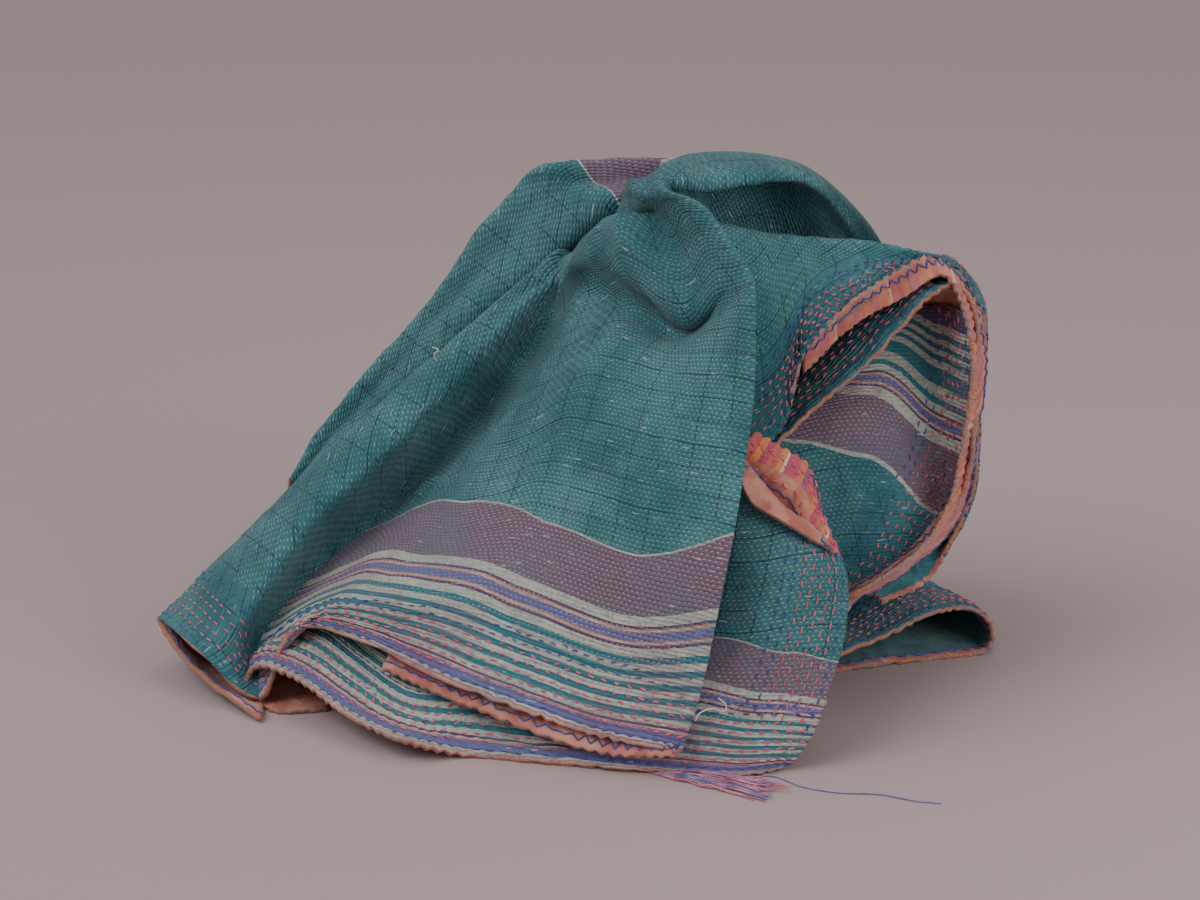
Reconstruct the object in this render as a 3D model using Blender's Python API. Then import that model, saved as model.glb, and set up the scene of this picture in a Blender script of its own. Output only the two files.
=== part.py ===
"""A kantha quilt thrown down in a heap: its stitched layers as one solid in their folds, and the thread ends
at its front corner."""
import math

import bmesh
import bpy
from mathutils import Vector

# Driving dimensions, in metres unless the name says otherwise
MM = 0.001
SHEET_THICKNESS = 0.0030        # the stitched layers together
DRAWING_TILT = math.radians(17)  # the fold lines are drawn on a plane that leans back this far
VIEW_DISTANCE = 1.95            # from which the drawing plane is projected onto the folds
VIEW_ACROSS = 0.015             # the drawing's middle, across and up the plane
VIEW_RISE = 0.164
FLOOR = "floor"                 # a depth of FLOOR lays that point on the floor

TILT_SIN = math.sin(DRAWING_TILT)
TILT_COS = math.cos(DRAWING_TILT)
PLANE_UP = Vector((0, TILT_SIN, TILT_COS))
PLANE_AWAY = Vector((0, TILT_COS, -TILT_SIN))
EYE = Vector((VIEW_ACROSS, 0, 0)) + VIEW_RISE * PLANE_UP - VIEW_DISTANCE * PLANE_AWAY

# Each table has one row for each section of cloth and one column for each fold line that it crosses.
# A cell is (across, rise, depth) in millimetres: across and rise on the drawing plane, depth to the rear.
# A cell that faces away from the drawing plane is at(x, y, z), in millimetres from the origin.


def at(x, y, z):
    return Vector((x, y, z)) * MM


# Columns: foot, roll under, roll left, roll crest, valley, panel left, panel mid, panel right, ridge, turn near,
# turn mid, turn far
FRONT = (
    # hem of the front panel, and the open end of the roll
    ((-206, -12, -38), (-251, 22, 20), (-272, 53, 60), (-247, 33, 4), (-206, 2, -12), (-178, 50, -8), (-70, 8, -80),
     (8, -20, -112), (67, -33, -128), (12, -32, -116), (-66, -4, -84), (-126, 22, -48)),
    ((-195, 14, 38), (-236, 30, 90), (-246, 80, 86), (-212, 70, 28), (-203, 44, 34), (-138, 68, -18), (-50, 42, -62),
     (21, 18, -98), (80, 8, -120), (25, 14, -84), (-45, 38, -42), (-108, 60, -2)),
    ((-150, 42, 130), (-205, 48, 150), (-213, 110, 104), (-172, 124, 52), (-160, 92, 66), (-96, 99, 4), (-31, 83, -45),
     (28, 66, -86), (94, 73, -110), (35, 64, -66), (-25, 80, -20), (-78, 95, 22)),
    (at(-100, 196, 2), at(-140, 214, 9), (-172, 149, 112), (-125, 163, 66), (-115, 131, 88), (-63, 138, 25), (-11, 131, -20),
     (41, 125, -66), (104, 125, -94), (50, 122, -44), (0, 128, 4), (-43, 136, 42)),
    (at(-60, 214, 2), at(-100, 232, 9), (-121, 191, 114), (-80, 212, 82), (-63, 183, 100), (-31, 190, 44), (8, 190, 5),
     (54, 190, -34), (114, 196, -68), (65, 188, -12), (25, 188, 25), (-8, 190, 58)),
    (at(-25, 222, 2), at(-60, 242, 9), (-77, 226, 116), (-40, 257, 96), (-21, 240, 104), (0, 235, 60), (27, 232, 34),
     (67, 226, -6), (115, 258, -45), (86, 242, 22), (66, 236, 50), (40, 235, 80)),
    (at(0, 226, 2), at(-35, 246, 9), (-38, 259, 118), (-16, 275, 104), (-10, 268, 104), (13, 266, 82), (42, 253, 56),
     (72, 240, 20), (112, 276, -32), (98, 264, 26), (84, 257, 62), (64, 250, 92)),
    (at(12, 228, 2), at(-12, 248, 9), (-18, 272, 130), (-8, 288, 112), (-5, 285, 92), (14, 290, 66), (42, 273, 37),
     (75, 257, 2), (99, 297, -14), (92, 286, 24), (84, 273, 54), (72, 266, 84)),
    (at(30, 230, 2), at(8, 251, 9), (-5, 270, 150), (0, 290, 120), (0, 295, 96), (18, 312, 72), (34, 317, 52),
     (51, 317, 32), (80, 323, 8), (82, 308, 30), (83, 290, 48), (85, 275, 72)),
    (at(50, 233, 2), at(30, 254, 9), (10, 255, 175), (8, 285, 130), (10, 300, 104), (23, 321, 84), (33, 327, 68),
     (43, 331, 50), (55, 334, 28), (66, 325, 45), (73, 305, 62), (80, 285, 82)),
    (at(68, 236, 2), at(54, 257, 9), (35, 225, 190), (28, 270, 150), (28, 300, 128), (34, 322, 108), (41, 333, 90),
     (48, 341, 70), (60, 349, 46), (68, 335, 36), (78, 335, 82), (88, 297, 102)),
    (at(92, 240, 2), at(84, 262, 9), (75, 165, 215), (74, 245, 185), (73, 285, 165), (73, 308, 150), (73, 326, 132),
     (76, 347, 112), (83, 356, 72), (88, 334, 50), (93, 338, 90), (98, 300, 112)),
    (at(132, 243, 2), at(134, 264, 9), (120, 125, 238), (120, 200, 212), (119, 258, 190), (119, 287, 172), (119, 315, 152),
     (119, 345, 132), (120, 355, 88), (122, 339, 66), (126, 342, 106), (131, 298, 126)),
    (at(172, 240, 2), at(178, 262, 9), at(178, 252, 42), (160, 160, 222), (158, 228, 198), (158, 264, 182), (158, 298, 162),
     (157, 330, 132), (154, 344, 98), (156, 335, 86), (159, 322, 102), (162, 290, 118)),
    (at(196, 232, 2), at(210, 256, 9), at(213, 250, 42), (194, 125, 238), (192, 190, 214), (192, 234, 202), (192, 267, 180),
     (193, 293, 146), (192, 306, 106), (190, 294, 112), (187, 283, 118), (185, 268, 108)),
    (at(222, 202, 2), at(236, 218, 9), at(238, 212, 42), (224, 125, 208), (224, 170, 204), (224, 200, 200), (223, 225, 192),
     (220, 246, 180), (214, 258, 160), (206, 258, 142), (201, 256, 132), (196, 254, 124)),
)
# Columns: foot, back low, back, crest, face, lip, tuck
CREST = (
    ((-150, 60, 205), (-178, 82, 196), (-186, 118, 168), (-187, 143, 130), (-183, 142, 124), (-179, 141, 120), (-172, 128, 150)),
    ((-130, 66, 225), (-160, 90, 216), (-164, 145, 182), (-161, 184, 138), (-154, 177, 130), (-147, 170, 122), (-140, 158, 155)),
    ((-100, 70, 240), (-126, 95, 236), (-130, 165, 200), (-125, 224, 148), (-119, 216, 136), (-111, 203, 124), (-104, 190, 158)),
    ((-70, 73, 250), (-92, 98, 248), (-98, 190, 212), (-92, 264, 154), (-84, 254, 142), (-73, 238, 128), (-66, 225, 160)),
    ((-40, 75, 256), (-60, 100, 256), (-70, 210, 220), (-67, 301, 158), (-52, 290, 146), (-36, 272, 130), (-28, 256, 160)),
    ((-15, 76, 260), (-30, 102, 260), (-45, 225, 226), (-44, 328, 158), (-24, 320, 142), (-3, 301, 122), (4, 282, 156)),
    ((15, 77, 262), (0, 103, 264), (-28, 235, 228), (-28, 341, 152), (-2, 335, 134), (22, 323, 110), (30, 296, 138)),
    ((45, 77, 264), (30, 103, 266), (0, 240, 230), (0, 345, 152), (22, 338, 134), (38, 328, 116), (44, 298, 140)),
    ((75, 77, 264), (62, 103, 266), (40, 240, 222), (40, 347, 150), (50, 339, 136), (60, 330, 124), (66, 300, 142)),
    ((100, 76, 262), (92, 102, 262), (78, 238, 200), (80, 346, 132), (84, 339, 124), (87, 328, 120), (89, 300, 130)),
)
# Columns: rear, pocket, ridge, upper, lower, side edge
SHOULDER = (
    ((72, 272, 106), (64, 292, 88), (55, 316, 54), (72, 282, 32), (84, 225, 2), (90, 152, -24)),
    ((110, 268, 126), (102, 290, 104), (109, 306, 60), (118, 278, 38), (127, 228, 10), (133, 177, -12)),
    ((146, 258, 140), (141, 284, 116), (150, 301, 76), (152, 285, 60), (152, 262, 38), (148, 228, 12)),
    ((182, 246, 156), (178, 278, 116), (192, 298, 86), (190, 288, 74), (186, 274, 58), (182, 256, 40)),
    ((200, 240, 178), (208, 274, 126), (224, 290, 92), (220, 288, 82), (214, 283, 72), (208, 277, 60)),
    ((206, 232, 196), (224, 266, 142), (244, 283, 104), (243, 286, 90), (239, 288, 78), (234, 288, 70)),
    ((206, 212, 206), (236, 246, 158), (258, 264, 118), (260, 266, 100), (259, 266, 86), (257, 265, 76)),
    ((204, 184, 214), (238, 214, 168), (261, 238, 126), (265, 238, 106), (266, 237, 90), (265, 236, 78)),
    ((200, 152, 222), (236, 178, 172), (255, 190, 126), (258, 189, 104), (260, 188, 86), (261, 187, 72)),
    ((196, 122, 234), (230, 142, 170), (250, 146, 120), (255, 144, 96), (257, 142, 76), (257, 140, 60)),
    ((190, 94, 240), (218, 108, 160), (236, 108, 110), (240, 107, 84), (242, 106, 64), (243, 105, 46)),
    ((190, 92, 238), (212, 102, 156), (214, 104, 100), (205, 98, 60), (214, 91, 38), (227, 79, 30)),
    ((176, 88, 236), (186, 92, 150), (186, 88, 90), (184, 80, 40), (190, 73, 16), (199, 65, 10)),
)
# Columns: lip, throat, deep
MOUTH = (
    ((125, 164, 2), (112, 172, 32), (100, 180, 76)),
    ((158, 194, 26), (138, 201, 52), (118, 206, 100)),
    ((190, 222, 42), (166, 230, 66), (142, 230, 108)),
    ((226, 260, 58), (204, 260, 76), (174, 252, 104)),
    ((247, 270, 62), (228, 271, 80), (200, 260, 106)),
    ((260, 248, 58), (244, 252, 92), (220, 244, 118)),
    ((259, 200, 48), (246, 214, 98), (224, 214, 134)),
    ((257, 160, 40), (244, 180, 98), (222, 188, 142)),
    ((246, 125, 28), (234, 146, 90), (210, 156, 142)),
    ((224, 101, 14), (211, 118, 76), (190, 126, 138)),
    ((200, 82, 0), (187, 97, 62), (166, 106, 130)),
    ((174, 65, -12), (160, 80, 46), (142, 92, 116)),
    ((156, 28, -18), (146, 44, 40), (132, 62, 104)),
    ((148, 2, FLOOR), (140, 22, FLOOR), (128, 42, FLOOR)),
)
# Columns: left, middle, valley, side edge
INNER = (
    ((160, 222, 92), (207, 252, 98), (236, 258, 88), (255, 252, 60)),
    ((136, 196, 66), (195, 226, 84), (234, 218, 84), (258, 206, 52)),
    ((112, 170, 38), (186, 192, 52), (232, 172, 64), (256, 162, 44)),
    ((114, 140, 20), (184, 152, 34), (228, 130, 42), (240, 122, 38)),
    ((128, 96, 4), (172, 98, 16), (204, 92, 14), (216, 98, 24)),
    ((134, 52, -8), (156, 56, 0), (170, 57, -4), (180, 66, -8)),
    ((130, 24, -16), (144, 26, -12), (154, 28, -12), (162, 30, -14)),
    ((126, 4, FLOOR), (136, 4, FLOOR), (144, 3, FLOOR), (152, 3, FLOOR)),
)
# Columns: hem, border, rise, upper, top
APRON = (
    ((135, -42, FLOOR), (154, -20, -108), (171, 32, -86), (176, 70, -70), (171, 93, -58)),
    ((106, -48, FLOOR), (120, -12, -110), (140, 42, -90), (146, 92, -70), (138, 122, -54)),
    ((47, -45, FLOOR), (62, -2, -106), (100, 54, -82), (104, 108, -62), (98, 150, -42)),
    ((-11, -40, FLOOR), (-8, -20, -92), (22, 50, -50), (40, 105, -34), (55, 150, -20)),
    ((-70, -35, FLOOR), (-66, -8, -74), (-34, 66, -15), (0, 110, 0), (20, 150, 12)),
    ((-115, -25, -100), (-106, 6, -58), (-76, 74, 18), (-40, 112, 28), (-15, 150, 36)),
    ((-148, -10, -66), (-138, 16, -38), (-110, 80, 42), (-76, 114, 52), (-45, 150, 56)),
    ((-172, 8, -38), (-164, 35, -12), (-134, 84, 54), (-104, 115, 66), (-70, 150, 70)),
    ((-190, 19, -20), (-184, 40, 6), (-150, 84, 68), (-124, 114, 78), (-92, 146, 80)),
    ((-207, 24, -6), (-200, 38, 18), (-160, 76, 72), (-134, 106, 88), (-104, 136, 88)),
    ((-216, 15, 4), (-206, 28, 28), (-158, 64, 78), (-132, 94, 94), (-104, 126, 94)),
    ((-211, 4, FLOOR), (-196, 16, 36), (-146, 52, 84), (-122, 84, 98), (-96, 116, 98)),
    ((-196, -6, FLOOR), (-180, 6, FLOOR), (-134, 40, FLOOR), (-112, 74, 98), (-88, 108, 98)),
    ((-164, -5, FLOOR), (-150, 8, FLOOR), (-118, 38, FLOOR), (-100, 66, 98), (-80, 100, 96)),
)
# Columns: edge, middle, rear
FOOT = (
    ((150, 24, -12), (145, 50, 60), (150, 80, 255)),
    ((196, 41, 34), (180, 64, 96), (170, 88, 262)),
    ((230, 58, 72), (211, 76, 126), (182, 94, 266)),
    ((257, 61, 92), (237, 74, 150), (190, 93, 267)),
    ((270, 47, 90), (253, 62, 152), (194, 90, 265)),
    ((262, 32, FLOOR), (240, 50, FLOOR), (190, 84, FLOOR)),
    ((210, 26, FLOOR), (195, 44, FLOOR), (170, 84, FLOOR)),
    ((164, 20, FLOOR), (155, 40, FLOOR), (150, 84, FLOOR)),
)
# Columns: turned edge, fold, loose edge
FLAP = (
    ((114, 176, -46), (106, 163, -52), (103, 150, -62)),
    ((134, 164, -40), (122, 147, -54), (112, 131, -68)),
    ((151, 151, -38), (139, 127, -56), (126, 121, -70)),
    ((160, 118, -44), (154, 114, -58), (148, 108, -70)),
    ((172, 92, -54), (168, 98, -60), (164, 100, -64)),
)
# Columns: outer, middle, inner
FACING = (
    ((147, 229, 13), (147, 222, 22), (147, 215, 28)),
    ((166, 248, 27), (169, 243, 34), (170, 238, 38)),
    ((187, 266, 43), (190, 260, 50), (193, 254, 54)),
    ((208, 279, 59), (212, 272, 62), (215, 265, 62)),
    ((227, 289, 68), (232, 284, 67), (236, 278, 62)),
    ((246, 281, 76), (247, 276, 68), (247, 270, 57)),
    ((260, 258, 76), (257, 254, 66), (254, 251, 51)),
    ((265, 232, 76), (261, 230, 64), (257, 228, 47)),
    ((264, 205, 74), (260, 204, 60), (256, 203, 42)),
    ((260, 180, 70), (256, 179, 55), (252, 178, 36)),
    ((258, 157, 65), (253, 155, 49), (248, 152, 30)),
    ((253, 133, 57), (248, 130, 38), (242, 127, 17)),
    ((240, 109, 44), (234, 106, 25), (227, 104, 4)),
    ((219, 90, 27), (212, 88, 10), (204, 85, -10)),
    ((190, 71, 12), (184, 70, -3), (176, 68, -19)),
)
# each fold's name and its table, and the steps between its fold lines across and along
LOBES = (
    ("front", FRONT, 2, 2),
    ("crest", CREST, 2, 2),
    ("shoulder", SHOULDER, 2, 2),
    ("mouth", MOUTH, 2, 1),
    ("inner", INNER, 2, 2),
    ("apron", APRON, 2, 2),
    ("foot", FOOT, 2, 2),
    ("flap", FLAP, 2, 1),
    ("facing", FACING, 1, 1),
)
TASSEL_THREADS_ROUND = 8
TASSEL = (  # sections of the thread bundle: centre across and to the rear, half width, half height
    (60, -125.2, 3, 1.6), (72, -129.2, 6, 2.8), (88, -134.2, 9, 3.4), (106, -140.2, 9, 3.2), (124, -145.2, 7, 2.4),
    (140, -149.2, 3, 1.4))
TASSEL_LIFT = 4.5

QUILT_TEAL = (0.027, 0.238, 0.226, 1)
THREAD_PINK = (0.55, 0.16, 0.28, 1)


def drawn(across, rise):
    """The point of the drawing plane, in metres."""
    return Vector((across * MM, 0, 0)) + rise * MM * PLANE_UP


def placed(cell):
    """A cell of a fold table, pushed back from the drawing plane to its depth or down to the floor."""
    if isinstance(cell, Vector):
        return cell.copy()
    across, rise, depth = cell
    sight = drawn(across, rise) - EYE
    if depth == FLOOR:
        lift = SHEET_THICKNESS / 2
        return EYE + sight * ((lift - EYE.z) / sight.z)
    point = EYE + sight * ((depth * MM - EYE.y) / sight.y)
    point.z = max(point.z, SHEET_THICKNESS / 2)
    return point


def spline(points, steps):
    """Points on a smooth curve through the given ones."""
    out = []
    for i in range(len(points) - 1):
        a, b = points[i], points[i + 1]
        before = points[i - 1] if i else a * 2 - b
        after = points[i + 2] if i + 2 < len(points) else b * 2 - a
        for k in range(steps):
            t = k / steps
            out.append(0.5 * ((2 * a) + (b - before) * t + (2 * before - 5 * a + 4 * b - after) * t * t
                              + (3 * a - before - 3 * b + after) * t ** 3))
    out.append(points[-1].copy())
    return out


def surface(table, across, along):
    """A grid of points on the smooth sheet through a fold table."""
    rows = [spline([placed(cell) for cell in row], across) for row in table]
    columns = [spline(list(column), along) for column in zip(*rows)]
    grid = [list(row) for row in zip(*columns)]
    for row in grid:
        for point in row:
            point.z = max(point.z, SHEET_THICKNESS / 2)
    return grid


def normals(grid):
    """The sheet's direction outward at each point of the grid."""
    rows, columns = len(grid), len(grid[0])
    out = []
    for i in range(rows):
        line = []
        for j in range(columns):
            along = grid[min(i + 1, rows - 1)][j] - grid[max(i - 1, 0)][j]
            across = grid[i][min(j + 1, columns - 1)] - grid[i][max(j - 1, 0)]
            line.append(across.cross(along).normalized())
        out.append(line)
    return out


def slab(bm, grid, low, high):
    """A closed sheet of the grid's shape, from low to high along its outward direction."""
    rows, columns = len(grid), len(grid[0])
    outward = normals(grid)
    layers = []
    for offset in (low, high):
        layers.append([[bm.verts.new(grid[i][j] + outward[i][j] * offset) for j in range(columns)]
                       for i in range(rows)])
    bottom, top = layers
    for i in range(rows - 1):
        for j in range(columns - 1):
            bm.faces.new((top[i][j], top[i][j + 1], top[i + 1][j + 1], top[i + 1][j]))
            bm.faces.new((bottom[i][j], bottom[i + 1][j], bottom[i + 1][j + 1], bottom[i][j + 1]))
    rim = [(0, j) for j in range(columns)] + [(i, columns - 1) for i in range(1, rows)]
    rim += [(rows - 1, j) for j in range(columns - 2, -1, -1)] + [(i, 0) for i in range(rows - 2, 0, -1)]
    for (i, j), (k, m) in zip(rim, rim[1:] + rim[:1]):
        bm.faces.new((bottom[i][j], bottom[k][m], top[k][m], top[i][j]))


def material(name, colour, roughness):
    made = bpy.data.materials.new(name)
    made.use_nodes = True
    shader = made.node_tree.nodes["Principled BSDF"]
    shader.inputs["Base Color"].default_value = colour
    shader.inputs["Roughness"].default_value = roughness
    return made


def finished(bm, name, finish):
    """A named object of the mesh, its faces pointing out."""
    bmesh.ops.triangulate(bm, faces=bm.faces)
    bmesh.ops.recalc_face_normals(bm, faces=bm.faces)
    mesh = bpy.data.meshes.new(name)
    bm.to_mesh(mesh)
    bm.free()
    mesh.materials.append(finish)
    made = bpy.data.objects.new(name, mesh)
    bpy.context.scene.collection.objects.link(made)
    return made


def lobe(name, table, across, along, finish):
    bm = bmesh.new()
    slab(bm, surface(table, across, along), -SHEET_THICKNESS / 2, SHEET_THICKNESS / 2)
    return finished(bm, name, finish)


def joined(pieces, name):
    """One solid of the overlapping pieces."""
    body, *rest = pieces
    for piece in rest:
        union = body.modifiers.new("union", "BOOLEAN")
        union.operation = "UNION"
        union.solver = "MANIFOLD"
        union.object = piece
        graph = bpy.context.evaluated_depsgraph_get()
        mesh = bpy.data.meshes.new_from_object(body.evaluated_get(graph))
        body.modifiers.remove(union)
        body.data = mesh
        bpy.data.objects.remove(piece, do_unlink=True)
    body.name = name
    return body


def tassel(finish):
    """The bundle of thread ends that lies on the floor at the front corner."""
    bm = bmesh.new()
    rings = []
    for across, rear, half_width, half_height in TASSEL:
        ring = []
        for k in range(TASSEL_THREADS_ROUND):
            turn = 2 * math.pi * k / TASSEL_THREADS_ROUND
            ring.append(bm.verts.new(Vector((across, rear + half_width * math.cos(turn),
                                             TASSEL_LIFT + half_height * math.sin(turn))) * MM))
        rings.append(ring)
    for near, far in zip(rings, rings[1:]):
        for k in range(TASSEL_THREADS_ROUND):
            m = (k + 1) % TASSEL_THREADS_ROUND
            bm.faces.new((near[k], near[m], far[m], far[k]))
    bm.faces.new(rings[0])
    bm.faces.new(reversed(rings[-1]))
    return finished(bm, "corner_tassel", finish)


def centred(pieces):
    """Moves the meshes so that the origin lies on the floor under the middle of the heap."""
    points = [vertex.co for piece in pieces for vertex in piece.data.vertices]
    low = Vector([min(point[k] for point in points) for k in range(3)])
    high = Vector([max(point[k] for point in points) for k in range(3)])
    shift = Vector((-(low.x + high.x) / 2, -(low.y + high.y) / 2, -low.z))
    for piece in pieces:
        for vertex in piece.data.vertices:
            vertex.co += shift


def build():
    for old in list(bpy.data.objects):
        bpy.data.objects.remove(old, do_unlink=True)
    teal = material("stitched_cotton", QUILT_TEAL, 0.9)
    pieces = [lobe(name, table, across, along, teal) for name, table, across, along in LOBES]
    made = [joined(pieces, "quilt"), tassel(material("cotton_thread", THREAD_PINK, 0.8))]
    centred(made)


build()
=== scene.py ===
"""A kantha quilt thrown down in a heap: stitched teal cotton with a striped border, its salmon backing
showing at the turned edges, with its stitches, edge stitching, loose threads and corner tassel."""

import math
import random

import bmesh
import bpy
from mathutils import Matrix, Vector, noise


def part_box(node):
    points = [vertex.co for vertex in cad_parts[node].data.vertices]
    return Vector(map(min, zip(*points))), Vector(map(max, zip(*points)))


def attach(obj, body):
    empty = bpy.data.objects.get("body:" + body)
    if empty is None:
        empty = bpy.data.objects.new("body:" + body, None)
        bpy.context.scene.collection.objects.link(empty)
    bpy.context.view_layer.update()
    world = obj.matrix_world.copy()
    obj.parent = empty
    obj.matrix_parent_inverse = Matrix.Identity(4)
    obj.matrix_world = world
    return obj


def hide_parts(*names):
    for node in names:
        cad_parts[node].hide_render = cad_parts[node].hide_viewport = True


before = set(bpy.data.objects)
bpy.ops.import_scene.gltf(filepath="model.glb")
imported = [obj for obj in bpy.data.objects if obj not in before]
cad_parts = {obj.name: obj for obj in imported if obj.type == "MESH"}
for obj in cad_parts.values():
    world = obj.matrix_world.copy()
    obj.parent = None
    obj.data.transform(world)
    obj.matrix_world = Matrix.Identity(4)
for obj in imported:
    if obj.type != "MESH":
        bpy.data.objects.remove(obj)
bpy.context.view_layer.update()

bl_info = {
    "name": "Kantha Quilt",
    "version": (1, 0, 0),
    "blender": (4, 5, 0),
    "location": "3D View > Sidebar > Quilt",
    "description": "Makes a stitched cotton quilt lying in a heap, and a plain stage for it",
    "category": "Object",
}

MM = 0.001
CLOTH_BODY = "root"
FLOOR_NAME = "studio_floor"

# ---------------------------------------------------------------- folds

# How the fold lines are drawn: on a plane that leans back, seen from a fixed distance
DRAWING_TILT = math.radians(17)
VIEW_DISTANCE = 1.95
VIEW_ACROSS = 0.015
VIEW_RISE = 0.164
PLANE_UP = Vector((0, math.sin(DRAWING_TILT), math.cos(DRAWING_TILT)))
PLANE_AWAY = Vector((0, math.cos(DRAWING_TILT), -math.sin(DRAWING_TILT)))
EYE = Vector((VIEW_ACROSS, 0, 0)) + VIEW_RISE * PLANE_UP - VIEW_DISTANCE * PLANE_AWAY
FLOOR = "floor"

# Each table has one row for each section of cloth and one column for each fold line that it crosses.
# A cell is (across, rise, depth) in millimetres: across and rise on the drawing plane, depth to the rear,
# or FLOOR where the cloth lies on the floor.
# A cell that faces away from the drawing plane is at(x, y, z), in millimetres from the origin.


def at(x, y, z):
    return Vector((x, y, z)) * MM


# Columns: foot, roll under, roll left, roll crest, valley, panel left, panel mid, panel right, ridge, turn near,
# turn mid, turn far
FRONT = (
    ((-206, -12, -38), (-251, 22, 20), (-272, 53, 60), (-247, 33, 4), (-206, 2, -12), (-178, 50, -8),
     (-70, 8, -80), (8, -20, -112), (67, -33, -128), (12, -32, -116), (-66, -4, -84), (-126, 22, -48)),
    ((-195, 14, 38), (-236, 30, 90), (-246, 80, 86), (-212, 70, 28), (-203, 44, 34), (-138, 68, -18),
     (-50, 42, -62), (21, 18, -98), (80, 8, -120), (25, 14, -84), (-45, 38, -42), (-108, 60, -2)),
    ((-150, 42, 130), (-205, 48, 150), (-213, 110, 104), (-172, 124, 52), (-160, 92, 66), (-96, 99, 4),
     (-31, 83, -45), (28, 66, -86), (94, 73, -110), (35, 64, -66), (-25, 80, -20), (-78, 95, 22)),
    (at(-100, 196, 2), at(-140, 214, 9), (-172, 149, 112), (-125, 163, 66), (-115, 131, 88), (-63, 138, 25),
     (-11, 131, -20), (41, 125, -66), (104, 125, -94), (50, 122, -44), (0, 128, 4), (-43, 136, 42)),
    (at(-60, 214, 2), at(-100, 232, 9), (-121, 191, 114), (-80, 212, 82), (-63, 183, 100), (-31, 190, 44),
     (8, 190, 5), (54, 190, -34), (114, 196, -68), (65, 188, -12), (25, 188, 25), (-8, 190, 58)),
    (at(-25, 222, 2), at(-60, 242, 9), (-77, 226, 116), (-40, 257, 96), (-21, 240, 104), (0, 235, 60),
     (27, 232, 34), (67, 226, -6), (115, 258, -45), (86, 242, 22), (66, 236, 50), (40, 235, 80)),
    (at(0, 226, 2), at(-35, 246, 9), (-38, 259, 118), (-16, 275, 104), (-10, 268, 104), (13, 266, 82),
     (42, 253, 56), (72, 240, 20), (112, 276, -32), (98, 264, 26), (84, 257, 62), (64, 250, 92)),
    (at(12, 228, 2), at(-12, 248, 9), (-18, 272, 130), (-8, 288, 112), (-5, 285, 92), (14, 290, 66), (42, 273, 37),
     (75, 257, 2), (99, 297, -14), (92, 286, 24), (84, 273, 54), (72, 266, 84)),
    (at(30, 230, 2), at(8, 251, 9), (-5, 270, 150), (0, 290, 120), (0, 295, 96), (18, 312, 72), (34, 317, 52),
     (51, 317, 32), (80, 323, 8), (82, 308, 30), (83, 290, 48), (85, 275, 72)),
    (at(50, 233, 2), at(30, 254, 9), (10, 255, 175), (8, 285, 130), (10, 300, 104), (23, 321, 84), (33, 327, 68),
     (43, 331, 50), (55, 334, 28), (66, 325, 45), (73, 305, 62), (80, 285, 82)),
    (at(68, 236, 2), at(54, 257, 9), (35, 225, 190), (28, 270, 150), (28, 300, 128), (34, 322, 108), (41, 333, 90),
     (48, 341, 70), (60, 349, 46), (68, 335, 36), (78, 335, 82), (88, 297, 102)),
    (at(92, 240, 2), at(84, 262, 9), (75, 165, 215), (74, 245, 185), (73, 285, 165), (73, 308, 150),
     (73, 326, 132), (76, 347, 112), (83, 356, 72), (88, 334, 50), (93, 338, 90), (98, 300, 112)),
    (at(132, 243, 2), at(134, 264, 9), (120, 125, 238), (120, 200, 212), (119, 258, 190), (119, 287, 172),
     (119, 315, 152), (119, 345, 132), (120, 355, 88), (122, 339, 66), (126, 342, 106), (131, 298, 126)),
    (at(172, 240, 2), at(178, 262, 9), at(178, 252, 42), (160, 160, 222), (158, 228, 198), (158, 264, 182),
     (158, 298, 162), (157, 330, 132), (154, 344, 98), (156, 335, 86), (159, 322, 102), (162, 290, 118)),
    (at(196, 232, 2), at(210, 256, 9), at(213, 250, 42), (194, 125, 238), (192, 190, 214), (192, 234, 202),
     (192, 267, 180), (193, 293, 146), (192, 306, 106), (190, 294, 112), (187, 283, 118), (185, 268, 108)),
    (at(222, 202, 2), at(236, 218, 9), at(238, 212, 42), (224, 125, 208), (224, 170, 204), (224, 200, 200),
     (223, 225, 192), (220, 246, 180), (214, 258, 160), (206, 258, 142), (201, 256, 132), (196, 254, 124)),
)
# Columns: foot, back low, back, crest, face, lip, tuck
CREST = (
    ((-150, 60, 205), (-178, 82, 196), (-186, 118, 168), (-187, 143, 130), (-183, 142, 124), (-179, 141, 120),
     (-172, 128, 150)),
    ((-130, 66, 225), (-160, 90, 216), (-164, 145, 182), (-161, 184, 138), (-154, 177, 130), (-147, 170, 122),
     (-140, 158, 155)),
    ((-100, 70, 240), (-126, 95, 236), (-130, 165, 200), (-125, 224, 148), (-119, 216, 136), (-111, 203, 124),
     (-104, 190, 158)),
    ((-70, 73, 250), (-92, 98, 248), (-98, 190, 212), (-92, 264, 154), (-84, 254, 142), (-73, 238, 128),
     (-66, 225, 160)),
    ((-40, 75, 256), (-60, 100, 256), (-70, 210, 220), (-67, 301, 158), (-52, 290, 146), (-36, 272, 130),
     (-28, 256, 160)),
    ((-15, 76, 260), (-30, 102, 260), (-45, 225, 226), (-44, 328, 158), (-24, 320, 142), (-3, 301, 122),
     (4, 282, 156)),
    ((15, 77, 262), (0, 103, 264), (-28, 235, 228), (-28, 341, 152), (-2, 335, 134), (22, 323, 110),
     (30, 296, 138)),
    ((45, 77, 264), (30, 103, 266), (0, 240, 230), (0, 345, 152), (22, 338, 134), (38, 328, 116), (44, 298, 140)),
    ((75, 77, 264), (62, 103, 266), (40, 240, 222), (40, 347, 150), (50, 339, 136), (60, 330, 124),
     (66, 300, 142)),
    ((100, 76, 262), (92, 102, 262), (78, 238, 200), (80, 346, 132), (84, 339, 124), (87, 328, 120),
     (89, 300, 130)),
)
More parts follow.
